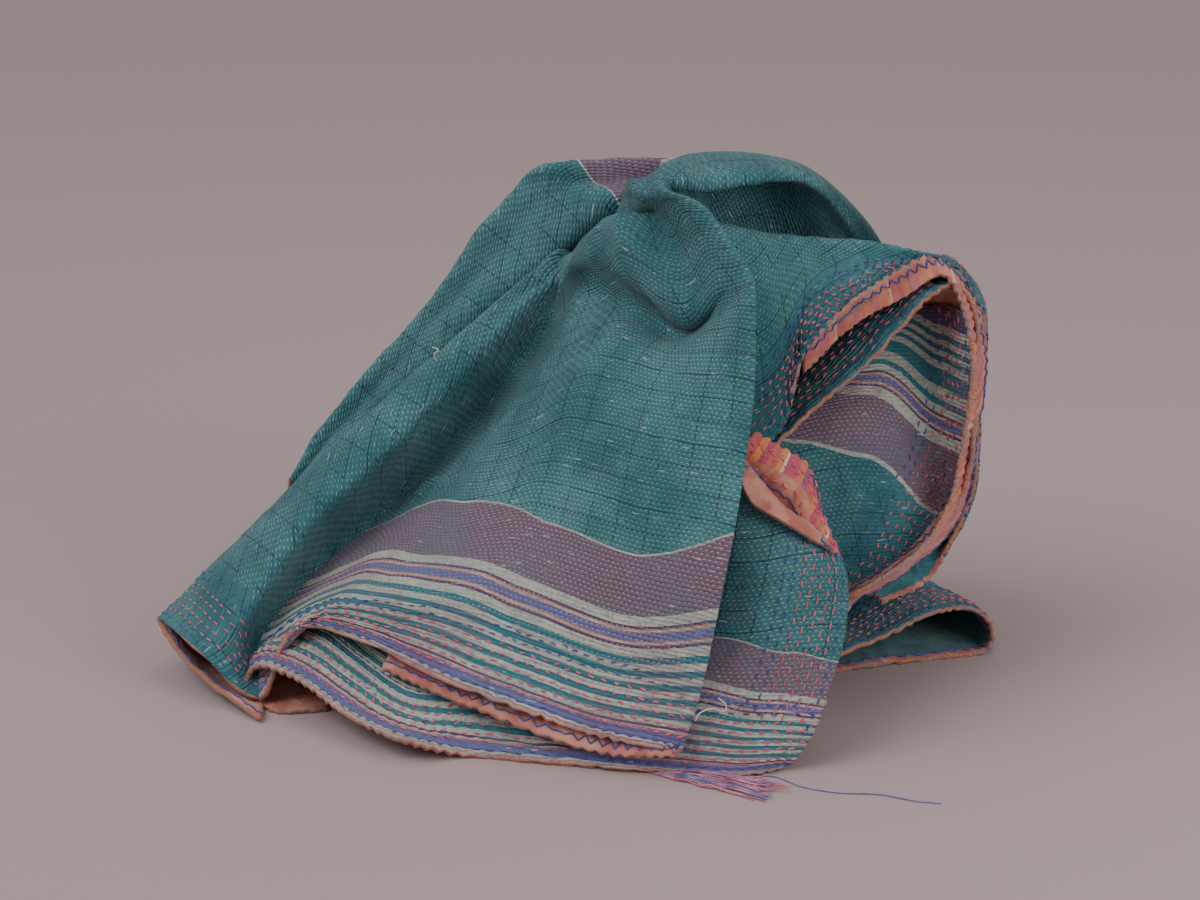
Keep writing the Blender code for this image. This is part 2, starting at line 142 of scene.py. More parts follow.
# Columns: rear, pocket, ridge, upper, lower, side edge
SHOULDER = (
    ((72, 272, 106), (64, 292, 88), (55, 316, 54), (72, 282, 32), (84, 225, 2), (90, 152, -24)),
    ((110, 268, 126), (102, 290, 104), (109, 306, 60), (118, 278, 38), (127, 228, 10), (133, 177, -12)),
    ((146, 258, 140), (141, 284, 116), (150, 301, 76), (152, 285, 60), (152, 262, 38), (148, 228, 12)),
    ((182, 246, 156), (178, 278, 116), (192, 298, 86), (190, 288, 74), (186, 274, 58), (182, 256, 40)),
    ((200, 240, 178), (208, 274, 126), (224, 290, 92), (220, 288, 82), (214, 283, 72), (208, 277, 60)),
    ((206, 232, 196), (224, 266, 142), (244, 283, 104), (243, 286, 90), (239, 288, 78), (234, 288, 70)),
    ((206, 212, 206), (236, 246, 158), (258, 264, 118), (260, 266, 100), (259, 266, 86), (257, 265, 76)),
    ((204, 184, 214), (238, 214, 168), (261, 238, 126), (265, 238, 106), (266, 237, 90), (265, 236, 78)),
    ((200, 152, 222), (236, 178, 172), (255, 190, 126), (258, 189, 104), (260, 188, 86), (261, 187, 72)),
    ((196, 122, 234), (230, 142, 170), (250, 146, 120), (255, 144, 96), (257, 142, 76), (257, 140, 60)),
    ((190, 94, 240), (218, 108, 160), (236, 108, 110), (240, 107, 84), (242, 106, 64), (243, 105, 46)),
    ((190, 92, 238), (212, 102, 156), (214, 104, 100), (205, 98, 60), (214, 91, 38), (227, 79, 30)),
    ((176, 88, 236), (186, 92, 150), (186, 88, 90), (184, 80, 40), (190, 73, 16), (199, 65, 10)),
)
# Columns: lip, throat, deep
MOUTH = (
    ((125, 164, 2), (112, 172, 32), (100, 180, 76)),
    ((158, 194, 26), (138, 201, 52), (118, 206, 100)),
    ((190, 222, 42), (166, 230, 66), (142, 230, 108)),
    ((226, 260, 58), (204, 260, 76), (174, 252, 104)),
    ((247, 270, 62), (228, 271, 80), (200, 260, 106)),
    ((260, 248, 58), (244, 252, 92), (220, 244, 118)),
    ((259, 200, 48), (246, 214, 98), (224, 214, 134)),
    ((257, 160, 40), (244, 180, 98), (222, 188, 142)),
    ((246, 125, 28), (234, 146, 90), (210, 156, 142)),
    ((224, 101, 14), (211, 118, 76), (190, 126, 138)),
    ((200, 82, 0), (187, 97, 62), (166, 106, 130)),
    ((174, 65, -12), (160, 80, 46), (142, 92, 116)),
    ((156, 28, -18), (146, 44, 40), (132, 62, 104)),
    ((148, 2, FLOOR), (140, 22, FLOOR), (128, 42, FLOOR)),
)
# Columns: left, middle, valley, side edge
INNER = (
    ((160, 222, 92), (207, 252, 98), (236, 258, 88), (255, 252, 60)),
    ((136, 196, 66), (195, 226, 84), (234, 218, 84), (258, 206, 52)),
    ((112, 170, 38), (186, 192, 52), (232, 172, 64), (256, 162, 44)),
    ((114, 140, 20), (184, 152, 34), (228, 130, 42), (240, 122, 38)),
    ((128, 96, 4), (172, 98, 16), (204, 92, 14), (216, 98, 24)),
    ((134, 52, -8), (156, 56, 0), (170, 57, -4), (180, 66, -8)),
    ((130, 24, -16), (144, 26, -12), (154, 28, -12), (162, 30, -14)),
    ((126, 4, FLOOR), (136, 4, FLOOR), (144, 3, FLOOR), (152, 3, FLOOR)),
)
# Columns: hem, border, rise, upper, top
APRON = (
    ((135, -42, FLOOR), (154, -20, -108), (171, 32, -86), (176, 70, -70), (171, 93, -58)),
    ((106, -48, FLOOR), (120, -12, -110), (140, 42, -90), (146, 92, -70), (138, 122, -54)),
    ((47, -45, FLOOR), (62, -2, -106), (100, 54, -82), (104, 108, -62), (98, 150, -42)),
    ((-11, -40, FLOOR), (-8, -20, -92), (22, 50, -50), (40, 105, -34), (55, 150, -20)),
    ((-70, -35, FLOOR), (-66, -8, -74), (-34, 66, -15), (0, 110, 0), (20, 150, 12)),
    ((-115, -25, -100), (-106, 6, -58), (-76, 74, 18), (-40, 112, 28), (-15, 150, 36)),
    ((-148, -10, -66), (-138, 16, -38), (-110, 80, 42), (-76, 114, 52), (-45, 150, 56)),
    ((-172, 8, -38), (-164, 35, -12), (-134, 84, 54), (-104, 115, 66), (-70, 150, 70)),
    ((-190, 19, -20), (-184, 40, 6), (-150, 84, 68), (-124, 114, 78), (-92, 146, 80)),
    ((-207, 24, -6), (-200, 38, 18), (-160, 76, 72), (-134, 106, 88), (-104, 136, 88)),
    ((-216, 15, 4), (-206, 28, 28), (-158, 64, 78), (-132, 94, 94), (-104, 126, 94)),
    ((-211, 4, FLOOR), (-196, 16, 36), (-146, 52, 84), (-122, 84, 98), (-96, 116, 98)),
    ((-196, -6, FLOOR), (-180, 6, FLOOR), (-134, 40, FLOOR), (-112, 74, 98), (-88, 108, 98)),
    ((-164, -5, FLOOR), (-150, 8, FLOOR), (-118, 38, FLOOR), (-100, 66, 98), (-80, 100, 96)),
)
# Columns: edge, middle, rear
FOOT = (
    ((150, 24, -12), (145, 50, 60), (150, 80, 255)),
    ((196, 41, 34), (180, 64, 96), (170, 88, 262)),
    ((230, 58, 72), (211, 76, 126), (182, 94, 266)),
    ((257, 61, 92), (237, 74, 150), (190, 93, 267)),
    ((270, 47, 90), (253, 62, 152), (194, 90, 265)),
    ((262, 32, FLOOR), (240, 50, FLOOR), (190, 84, FLOOR)),
    ((210, 26, FLOOR), (195, 44, FLOOR), (170, 84, FLOOR)),
    ((164, 20, FLOOR), (155, 40, FLOOR), (150, 84, FLOOR)),
)
# Columns: turned edge, fold, loose edge
FLAP = (
    ((114, 176, -46), (106, 163, -52), (103, 150, -62)),
    ((134, 164, -40), (122, 147, -54), (112, 131, -68)),
    ((151, 151, -38), (139, 127, -56), (126, 121, -70)),
    ((160, 118, -44), (154, 114, -58), (148, 108, -70)),
    ((172, 92, -54), (168, 98, -60), (164, 100, -64)),
)
# Columns: outer, middle, inner
FACING = (
    ((147, 229, 13), (147, 222, 22), (147, 215, 28)),
    ((166, 248, 27), (169, 243, 34), (170, 238, 38)),
    ((187, 266, 43), (190, 260, 50), (193, 254, 54)),
    ((208, 279, 59), (212, 272, 62), (215, 265, 62)),
    ((227, 289, 68), (232, 284, 67), (236, 278, 62)),
    ((246, 281, 76), (247, 276, 68), (247, 270, 57)),
    ((260, 258, 76), (257, 254, 66), (254, 251, 51)),
    ((265, 232, 76), (261, 230, 64), (257, 228, 47)),
    ((264, 205, 74), (260, 204, 60), (256, 203, 42)),
    ((260, 180, 70), (256, 179, 55), (252, 178, 36)),
    ((258, 157, 65), (253, 155, 49), (248, 152, 30)),
    ((253, 133, 57), (248, 130, 38), (242, 127, 17)),
    ((240, 109, 44), (234, 106, 25), (227, 104, 4)),
    ((219, 90, 27), (212, 88, 10), (204, 85, -10)),
    ((190, 71, 12), (184, 70, -3), (176, 68, -19)),
)

# Drawn-in and raised creases of each piece: column and row of its two ends, height and half width
CREASES = {
    "front": (
        (4.6, 9.2, 7.6, 7.4, -13.0, 0.5), (5.4, 10.3, 7.7, 8.5, 6.0, 0.5), (5.2, 8.0, 7.6, 6.2, 4.0, 0.45),
        (4.8, 6.4, 7.2, 6.0, -4.0, 0.5), (5.2, 3.6, 7.6, 4.6, -2.5, 0.45), (5.4, 1.6, 7.4, 1.2, 2.5, 0.4),
        (2.2, 6.5, 3.6, 2.2, -2.5, 0.35), (9.0, 2.0, 10.4, 5.0, -2.5, 0.4)),
    "crest": (
        (3.1, 4.5, 4.6, 7.8, -2.0, 0.3), (2.0, 2.6, 2.9, 7.6, -4.0, 0.4), (1.2, 3.4, 2.2, 6.0, 4.0, 0.4),
        (3.4, 1.8, 4.7, 3.6, 2.0, 0.3)),
    "shoulder": (
        (2.3, 3.0, 4.4, 4.2, -2.5, 0.4), (0.8, 3.4, 1.8, 7.4, -4.0, 0.4), (2.6, 6.6, 4.4, 7.4, -2.0, 0.4)),
    "inner": ((0.4, 1.2, 2.2, 2.8, -2.5, 0.3), (0.8, 3.2, 2.0, 4.0, 2.0, 0.3)),
    "apron": ((1.0, 2.2, 3.4, 2.6, -2.5, 0.4), (1.0, 5.4, 3.2, 5.8, 2.0, 0.4)),
    "flap": ((1.0, 0.2, 1.1, 3.9, 8.0, 0.16), (0.5, 0.4, 0.5, 3.6, -2.5, 0.3), (1.6, 0.4, 1.5, 3.6, -3.0, 0.3)),
}

# Cloth pieces: fold table, steps between fold lines across and along, which side the face is on, the piece's size
# laid flat with its area, in metres, and how strongly its edges gather where that differs from 1
PIECES = {
    "front": dict(folds=FRONT, across=18, along=15, face=1, flat=(0.76, 0.66), area=0.38),
    "crest": dict(folds=CREST, across=20, along=13, face=1, flat=(0.42, 0.36), area=0.124),
    "shoulder": dict(folds=SHOULDER, across=20, along=14, face=1, flat=(0.47, 0.20), area=0.072, gathers=2.0),
    "mouth": dict(folds=MOUTH, across=16, along=10, face=-1, flat=(0.49, 0.11), area=0.045),
    "inner": dict(folds=INNER, across=20, along=14, face=-1, flat=(0.29, 0.12), area=0.026),
    "apron": dict(folds=APRON, across=18, along=12, face=1, flat=(0.48, 0.21), area=0.085),
    "foot": dict(folds=FOOT, across=22, along=12, face=-1, flat=(0.27, 0.21), area=0.042),
    "facing": dict(folds=FACING, across=12, along=12, face=-1, flat=(0.38, 0.035), area=0.0105),
    "flap": dict(folds=FLAP, across=16, along=14, face=-1, flat=(0.10, 0.04), area=0.0031, gathers=0.3),
}

FOLD_LIFT = 1.5  # half the sheet's thickness, in millimetres
FOLD_ROUNDING = 4  # times that the tight folds are softened


def placed(cell):
    """A cell of a fold table, pushed back from the drawing plane to its depth or down to the floor."""
    if isinstance(cell, Vector):
        return cell.copy()
    across, rise, depth = cell
    sight = Vector((across * MM, 0, 0)) + rise * MM * PLANE_UP - EYE
    if depth == FLOOR:
        return EYE + sight * ((FOLD_LIFT * MM - EYE.z) / sight.z)
    return EYE + sight * ((depth * MM - EYE.y) / sight.y)


def spline(points, steps):
    """Points on a smooth curve through the given ones."""
    out = []
    for i in range(len(points) - 1):
        a, b = points[i], points[i + 1]
        before = points[i - 1] if i else a * 2 - b
        after = points[i + 2] if i + 2 < len(points) else b * 2 - a
        for k in range(steps):
            t = k / steps
            out.append(0.5 * ((2 * a) + (b - before) * t + (2 * before - 5 * a + 4 * b - after) * t * t
                              + (3 * a - before - 3 * b + after) * t ** 3))
    out.append(points[-1].copy())
    return out


def surface(table, across, along):
    """A grid of points on the smooth sheet through a fold table."""
    rows = [spline([placed(cell) for cell in row], across) for row in table]
    columns = [spline(list(column), along) for column in zip(*rows)]
    return [list(row) for row in zip(*columns)]


def outward(grid):
    """The sheet's direction outward at each point of the grid."""
    rows, columns = len(grid), len(grid[0])
    out = []
    for i in range(rows):
        line = []
        for j in range(columns):
            along = grid[min(i + 1, rows - 1)][j] - grid[max(i - 1, 0)][j]
            across = grid[i][min(j + 1, columns - 1)] - grid[i][max(j - 1, 0)]
            line.append(across.cross(along).normalized())
        out.append(line)
    return out


def rounded(grid, times):
    """The grid with its tight folds rounded to the cloth's thickness; its edges stay."""
    rows, columns = len(grid), len(grid[0])
    for _ in range(times):
        grid = [[grid[i][j] if j in (0, columns - 1) else
                 0.5 * grid[i][j] + 0.25 * (grid[i][j - 1] + grid[i][j + 1]) for j in range(columns)]
                for i in range(rows)]
        grid = [[grid[i][j] if i in (0, rows - 1) else
                 0.5 * grid[i][j] + 0.25 * (grid[i - 1][j] + grid[i + 1][j]) for j in range(columns)]
                for i in range(rows)]
    return grid


def origin_shift():
    """How far the drawn folds move so that they lie where the CAD heap does."""
    points = [p for piece in PIECES.values() for row in surface(piece["folds"], 2, 2) for p in row]
    low = Vector([min(p[k] for p in points) for k in range(3)])
    high = Vector([max(p[k] for p in points) for k in range(3)])
    middle = (Vector(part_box("quilt")[0]) + Vector(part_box("quilt")[1]) - low - high) / 2
    return Vector((middle.x, middle.y, 0))


SHIFT = origin_shift()

# ---------------------------------------------------------------- patterns of each piece

FAR = 0.9  # past every border and edge zone, in metres
BORDER_WIDTH = 139.0  # in millimetres, as woven
BORDER_OVERLAP = 0.6  # how far the teal runs over the border's last stripe, in millimetres
# How much wider the border is woven than it lies, by fold line: above 1 where the hem is drawn up or turned under
FRONT_BORDER_STRETCH = (1.0, 1.0, 1.0, 1.0, 0.92, 0.98, 1.18, 1.22, 1.0, 1.0, 1.0, 1.0)
APRON_BORDER_STRETCH = (1.85, 1.7, 1.46, 1.25, 1.1, 1.0, 1.0, 1.0, 1.0, 1.0, 1.0, 1.0, 1.0, 1.0)
INNER_BORDER_LEAN = (0.8, 0.1, -0.2, -0.2)  # how many rows sooner the border starts at each fold line
INNER_HEM = (14, 52, 94, 139, 200, 250, 290, 320)  # distance to the hem down the inner wall's fold lines
# Columns and rows of the fold tables where a pattern starts
RIDGE_COLUMN = 8
VALLEY_COLUMN = 4
CREST_COLUMN = 3
CREST_BACK = 1  # the crest's border stops short of this column
CREAM_LINE_ROW = 6.9  # row at which the crest's border meets the teal
CREAM_LINE_LEAN = 0.35  # how many rows sooner it does so at each column
CREST_ROW_SPACING = 30.0  # in millimetres


def eased(values, place):
    """A value between those given for whole places, changing smoothly from one to the next."""
    k = min(max(int(place), 0), len(values) - 2)
    share = min(max(place - k, 0.0), 1.0)
    return values[k] + (values[k + 1] - values[k]) * share * share * (3 - 2 * share)


def run_lengths(grid):
    """How far each point of the grid lies along its row from the first."""
    out = []
    for line in grid:
        out.append([0.0])
        for here, there in zip(line, line[1:]):
            out[-1].append(out[-1][-1] + (there - here).length)
    return out


def measures(name, grid, across, along):
    """A function that gives, for point i, j of a face in the middle of a column: the distance along the stitch
    rows, across them, to the hem and to the side edge."""
    by_row = run_lengths(grid)
    by_column = list(zip(*run_lengths(zip(*grid))))

    def cell(i, j, middle):
        row, column = by_row[i][j], by_column[i][j]
        s, t = j / across, i / along
        side = by_row[i][-1] - row
        if name == "front" and middle >= VALLEY_COLUMN:
            ridge = by_row[i][RIDGE_COLUMN * across]
            return row - ridge, column, column * eased(FRONT_BORDER_STRETCH, s), FAR
        if name == "front":
            return column, row, FAR, column
        if name == "crest":
            past_cream = t - CREAM_LINE_ROW + CREAM_LINE_LEAN * (s - CREST_COLUMN)
            hem = BORDER_WIDTH * MM - past_cream * CREST_ROW_SPACING * MM
            return column, row, hem if middle > CREST_BACK else FAR, FAR
        if name == "inner":
            return row, column, eased(INNER_HEM, t + eased(INNER_BORDER_LEAN, s)) * MM, side
        if name == "shoulder":
            return column, side, FAR, side
        if name == "apron":
            return column, row, row * eased(APRON_BORDER_STRETCH, t), FAR
        return column, row, FAR, row
    return cell


# ---------------------------------------------------------------- finishes

# Running stitch and woven check, in millimetres
ROW_PITCH = 2.8
STITCH_PERIOD = 3.8
STITCH_LENGTH = 1.7
STITCH_THREAD = 0.6
STITCH_SHIFT = (0.5, 0.3)  # of a stitch, from one row to the next: always, and at most by chance
STITCH_LENGTHS = (1.12, 0.75)  # shares of a stitch's half length at which it is gone and full
STITCH_WIDTHS = (1.25, 0.55)  # and of its half width
WHITE_FROM = 53.0  # how far in from an edge the white rows start
ROW_DRIFT = 3.2  # how far apart the rows' wavering can take them
HEM_DRIFT = 0.35  # the border stripes' wavering, as a share of the rows'
CHECK_PITCHES = (23.0, 15.0)  # along the rows and across them
CHECK_LINE = (0.2, 0.65)  # half widths at which a woven line is full and gone
PRINT_REPEAT = 48.0
# Marks in the cloth: length along the rows and width across them, in millimetres
FADED_STREAK = (14.29, 1.111)
RUBBED_PATCH = (4.167, 4.167)
LOOSE_SLUB = (11.76, 1.613)
FINE_PUCKER = (3.846, 2.381)
BACKING_CRUMPLE = (2.632, 6.25)
# Marks that keep no direction, in millimetres across
FADED_AREA = 71.43
ROW_WANDER = 26.32
BACKING_FADE = 16.67
BACKING_PATCH = 62.5
EDGE_FRAY = 1.429
EDGE_TONE = 22.22
THREAD_TONE = 11.11
THREAD_TWIST = 1.496  # from ply to ply; drawn coarser than the real twist, which is too fine to show
# Relief: how far each finish stands up at most, in millimetres
QUILTING_RELIEF = 1.2
EDGE_RELIEF = 0.6
THREAD_RELIEF = 0.3

CREAM, BORDER_TEAL, PURPLE, LAVENDER = "#BFC1B6", "#2C7C86", "#776678", "#6A6CA4"
PLUM, CORAL = "#5E4868", "#C58479"
# Runs of stripes: where each run starts and stops, in millimetres from the hem, then where each stripe starts and
# its colour, outermost first
BORDER = (
    (0.0, 69.0, (
        (0, CORAL), (1.2, CREAM), (2.4, CORAL), (3.4, CREAM), (4.6, LAVENDER), (11, CORAL), (12.2, CREAM),
        (13.2, PLUM), (15, CREAM), (19.5, BORDER_TEAL), (24, CREAM), (29, BORDER_TEAL), (33.5, CREAM),
        (38.5, BORDER_TEAL), (43, CREAM), (48, BORDER_TEAL), (52.5, CREAM), (57.5, BORDER_TEAL),
        (62.5, CREAM))),
    (69.0, BORDER_WIDTH, (
        (69, PLUM), (71, CORAL), (72, CREAM), (73, CORAL), (74, LAVENDER), (80, CORAL), (81, CREAM),
        (82, CORAL), (83, PLUM), (85, CREAM), (92, PURPLE), (136.6, CREAM), (138.6, BORDER_TEAL))),
)
# The backing's printed bands, in the same way
PRINT = ((0.0, PRINT_REPEAT, (
    (0, "#C4585A"), (7.68, "#D98C4A"), (12.48, "#B4486C"), (17.28, "#CB6A5C"), (24, "#DC9650"),
    (27.84, "#E9D3C2"), (29.76, "#BE5572"), (38.4, "#D67C58"), (43.2, "#94537E"))),)
NAVY, SLUB, TEAL_STREAK, STITCH_WHITE = "#1B3650", "#BFD2CC", "#5F9896", "#C9D8D2"
# Stains on the border: which marks, where in their range the stain starts and is full, its most, and its colour
BORDER_STAINS = (
    ("streak", 0.42, 0.72, 0.3, "#3F6E78"), ("rubbed", 0.52, 0.66, 0.38, "#8E5A6C"),
    ("rubbed", 0.48, 0.34, 0.3, "#4C5A66"), ("faded", 0.5, 0.62, 0.28, "#7E4C68"),
    ("faded", 0.5, 0.38, 0.25, "#5C7484"),
)


def to_linear(hex_colour):
    """A linear RGBA colour from an sRGB hex value."""
    channels = [int(hex_colour[k:k + 2], 16) / 255 for k in (1, 3, 5)]
    return (*(c / 12.92 if c <= 0.04045 else ((c + 0.055) / 1.055) ** 2.4 for c in channels), 1.0)


def add(tree, kind, *values, output=0, **settings):
    """Adds a node with its settings and gives one of its outputs. The values go to its inputs in their order: a
    socket is linked, a hex value is turned to a colour, any other value is set, and None is left as it is."""
    made = tree.nodes.new("ShaderNode" + kind)
    for key, setting in settings.items():
        setattr(made, key, setting)
    for socket, value in zip([s for s in made.inputs if s.enabled], values):
        if isinstance(value, bpy.types.NodeSocket):
            tree.links.new(value, socket)
        elif value is not None:
            socket.default_value = to_linear(value) if isinstance(value, str) else value
    return [s for s in made.outputs if s.enabled][output]


def cotton(name, roughness, sheen, specular=0.5):
    """A new matt cotton finish: its material, node tree, shader inputs and place on the piece."""
    made = bpy.data.materials.new(name)
    made.use_nodes = True
    shader = made.node_tree.nodes["Principled BSDF"].inputs
    shader["Roughness"].default_value = roughness
    shader["Sheen Weight"].default_value = sheen
    shader["Specular IOR Level"].default_value = specular
    return made, made.node_tree, shader, add(made.node_tree, "TexCoord", output=3)


def covered(tree, shader, colour, height, strength, relief):
    """Gives a finish its colour and its relief, in millimetres."""
    tree.links.new(colour, shader["Base Color"])
    tree.links.new(add(tree, "Bump", strength, relief * MM, None, height), shader["Normal"])


def woven(tree):
    """Distances along and across the stitch rows, to the hem and to the side edge, from the piece's UV maps."""
    weave = add(tree, "SeparateXYZ", add(tree, "UVMap", uv_map="weave")).node.outputs
    edges = add(tree, "SeparateXYZ", add(tree, "UVMap", uv_map="edges")).node.outputs
    return weave[0], weave[1], edges[0], edges[1]


def grain(tree, along, across, size, detail=2.0):
    """Noise that follows the weave, with marks of a length and width in millimetres."""
    place = add(tree, "CombineXYZ", *(add(tree, "Math", run, mark * MM, operation="DIVIDE")
                                      for run, mark in zip((along, across), size)))
    return add(tree, "TexNoise", place, 1.0, detail)


def stained(tree, ground, pattern, low, high, most, shade):
    """The ground with a shade over it, at most by a share, where the pattern goes from low to high."""
    share = add(tree, "MapRange", pattern, low, high, 0.0, most, interpolation_type="SMOOTHSTEP")
    return add(tree, "Mix", share, ground, shade, data_type="RGBA")


def from_middle(tree, place):
    """How far a place is from the middle of its step: 0 in the middle, and 0.5 where the next step starts."""
    share = add(tree, "Math", place, operation="FRACT")
    return add(tree, "Math", add(tree, "Math", share, 0.5, operation="SUBTRACT"), operation="ABSOLUTE")


def bands(tree, distance, runs):
    """The colour of a row of stripes at a distance: one ColorRamp for each run of them."""
    colour = None
    for start, stop, stripes in runs:
        place = add(tree, "Math", distance, start * MM, operation="SUBTRACT")
        place = add(tree, "Math", place, (stop - start) * MM, operation="DIVIDE")
        shades = add(tree, "ValToRGB", place)
        ramp = shades.node.color_ramp
        ramp.interpolation = "CONSTANT"
        ramp.elements.remove(ramp.elements[1])
        ramp.elements[0].color = to_linear(stripes[0][1])
        for edge, shade in stripes[1:]:
            ramp.elements.new((edge - start) / (stop - start)).color = to_linear(shade)
        if colour is None:
            colour = shades
        else:
            past = add(tree, "Math", distance, start * MM, operation="GREATER_THAN")
            colour = add(tree, "Mix", past, colour, shades, data_type="RGBA")
    return colour


def running_stitch(tree, along, across):
    """Rows of running stitch: 1 on the thread, soft at its ends, each row moved on from the last by half a stitch
    and a little by chance."""
    place = add(tree, "Math", across, ROW_PITCH * MM, operation="DIVIDE")
    number = add(tree, "Math", place, operation="FLOOR")
    chance = add(tree, "TexWhiteNoise", number, noise_dimensions="1D")
    moved = add(tree, "Math", number, STITCH_SHIFT[0], operation="MULTIPLY")
    moved = add(tree, "Math", chance, STITCH_SHIFT[1], moved, operation="MULTIPLY_ADD")
    run = add(tree, "Math", add(tree, "Math", along, STITCH_PERIOD * MM, operation="DIVIDE"), moved, operation="ADD")
    shares = []
    for way, half, soft in ((run, 0.5 * STITCH_LENGTH / STITCH_PERIOD, STITCH_LENGTHS),
                            (place, 0.5 * STITCH_THREAD / ROW_PITCH, STITCH_WIDTHS)):
        shares.append(add(tree, "MapRange", from_middle(tree, way), half * soft[0], half * soft[1],
                          interpolation_type="SMOOTHSTEP"))
    return add(tree, "Math", *shares, operation="MULTIPLY")


def face_cloth(sizes):
    """Face of old sari cotton, handwoven and washed thin."""
    # To the eye: chalky and matt, faded in streaks along the weave, and puckered between rows of pale dashes
    made, tree, shader, place = cotton("worn_sari_cotton_face", roughness=0.88, sheen=0.1, specular=0.2)
    along, across, hem, side = woven(tree)
    wander = add(tree, "TexNoise", place, 1 / (ROW_WANDER * MM), 2.0)
    drift = add(tree, "Math", wander, 0.5, operation="SUBTRACT")
    drift = add(tree, "Math", drift, ROW_DRIFT * MM, operation="MULTIPLY")
    across = add(tree, "Math", across, drift, operation="ADD")
    hem = add(tree, "Math", drift, HEM_DRIFT, hem, operation="MULTIPLY_ADD")
    fade = add(tree, "TexNoise", place, 1 / (FADED_AREA * MM), 5.0, 0.62)
    streak = grain(tree, along, across, FADED_STREAK)
    marks = {"streak": streak, "rubbed": grain(tree, along, across, RUBBED_PATCH, detail=4.0), "faded": fade}

    teal = stained(tree, sizes.teal, fade, 0.36, 0.66, 1.0, sizes.faded_teal)
    teal = stained(tree, teal, streak, 0.5, 0.8, 0.35, TEAL_STREAK)
    border = bands(tree, hem, BORDER)
    for mark, start, full, most, shade in BORDER_STAINS:
        border = stained(tree, border, marks[mark], start, full, most, shade)
    inside_border = add(tree, "Math", hem, (BORDER_WIDTH - BORDER_OVERLAP) * MM, operation="LESS_THAN")
    ground = add(tree, "Mix", inside_border, teal, border, data_type="RGBA")

    # woven windowpane: fine navy lines both ways, in the teal only
    lines = []
    for run, pitch in zip((along, across), CHECK_PITCHES):
        beat = from_middle(tree, add(tree, "Math", run, pitch * MM, operation="DIVIDE"))
        lines.append(add(tree, "MapRange", beat, CHECK_LINE[1] / pitch, CHECK_LINE[0] / pitch,
                         interpolation_type="SMOOTHSTEP"))
    line = add(tree, "Math", *lines, operation="MAXIMUM")
    plain = add(tree, "Math", hem, BORDER_WIDTH * MM, operation="GREATER_THAN")
    line = add(tree, "Math", line, plain, operation="MULTIPLY")
    broken = add(tree, "MapRange", wander, 0.34, 0.5, 0.0, 0.8, interpolation_type="SMOOTHSTEP")
    line = add(tree, "Math", line, broken, operation="MULTIPLY")
    ground = add(tree, "Mix", line, ground, NAVY, data_type="RGBA")
    ground = stained(tree, ground, grain(tree, along, across, LOOSE_SLUB, detail=1.0), 0.70, 0.76, 0.75, SLUB)

    # running stitch, brighter where the cloth has faded
    zone = add(tree, "Math", hem, side, operation="MINIMUM")
    white = add(tree, "Math", running_stitch(tree, along, across),
                add(tree, "Math", zone, WHITE_FROM * MM, operation="GREATER_THAN"), operation="MULTIPLY")
    bright = add(tree, "MapRange", fade, 0.36, 0.62, 0.3, 0.75, interpolation_type="SMOOTHSTEP")
    share = add(tree, "Math", white, bright, operation="MULTIPLY")
    colour = add(tree, "Mix", share, ground, STITCH_WHITE, data_type="RGBA")

    # relief: the cloth swells between rows and is drawn down along them; the thread stands on it
    swell = from_middle(tree, add(tree, "Math", across, ROW_PITCH * MM, operation="DIVIDE"))
    height = add(tree, "Math", swell, 1.3, operation="MULTIPLY")
    height = add(tree, "Math", grain(tree, along, across, FINE_PUCKER), 1.1, height, operation="MULTIPLY_ADD")
    height = add(tree, "Math", white, 0.55, height, operation="MULTIPLY_ADD")
    covered(tree, shader, colour, height, 0.85, QUILTING_RELIEF)
    return made


def backing_cloth(name, sizes, printed=0.0, strip=None, seam=None):
    """Backing of faded cotton, plain salmon or printed with bands. With a strip, in millimetres, it shows only that
    far in from the edge, and the doubled cloth's teal lies inside. With a seam, the print ends that many
    millimetres in from the edge."""
    # To the eye: matt and thin, unevenly faded, and softly crumpled along the hem
    made, tree, shader, place = cotton(name, roughness=0.9, sheen=0.2, specular=0.2)
    along, across, hem, side = woven(tree)
    fade = add(tree, "TexNoise", place, 1 / (BACKING_FADE * MM), 4.0)
    ground = stained(tree, sizes.backing, fade, 0.38, 0.62, 1.0, sizes.faded_backing)
    patch = add(tree, "TexNoise", place, 1 / (BACKING_PATCH * MM), 1.0)
    ground = stained(tree, ground, patch, 0.55, 0.62, 0.7, "#C46A74")
    if printed:
        run = add(tree, "Math", along, PRINT_REPEAT * MM, operation="MODULO")
        if seam:
            printed = add(tree, "MapRange", across, seam * MM, (seam - 1) * MM, 0.0, printed,
                          interpolation_type="SMOOTHSTEP")
        ground = add(tree, "Mix", printed, ground, bands(tree, run, PRINT), data_type="RGBA")
    if strip:
        near = add(tree, "Math", hem, side, operation="MINIMUM")
        teal = stained(tree, sizes.teal, fade, 0.36, 0.66, 1.0, sizes.faded_teal)
        ground = stained(tree, ground, near, (strip - 1) * MM, strip * MM, 1.0, teal)
    covered(tree, shader, ground, grain(tree, along, across, BACKING_CRUMPLE), 0.8, QUILTING_RELIEF)
    return made


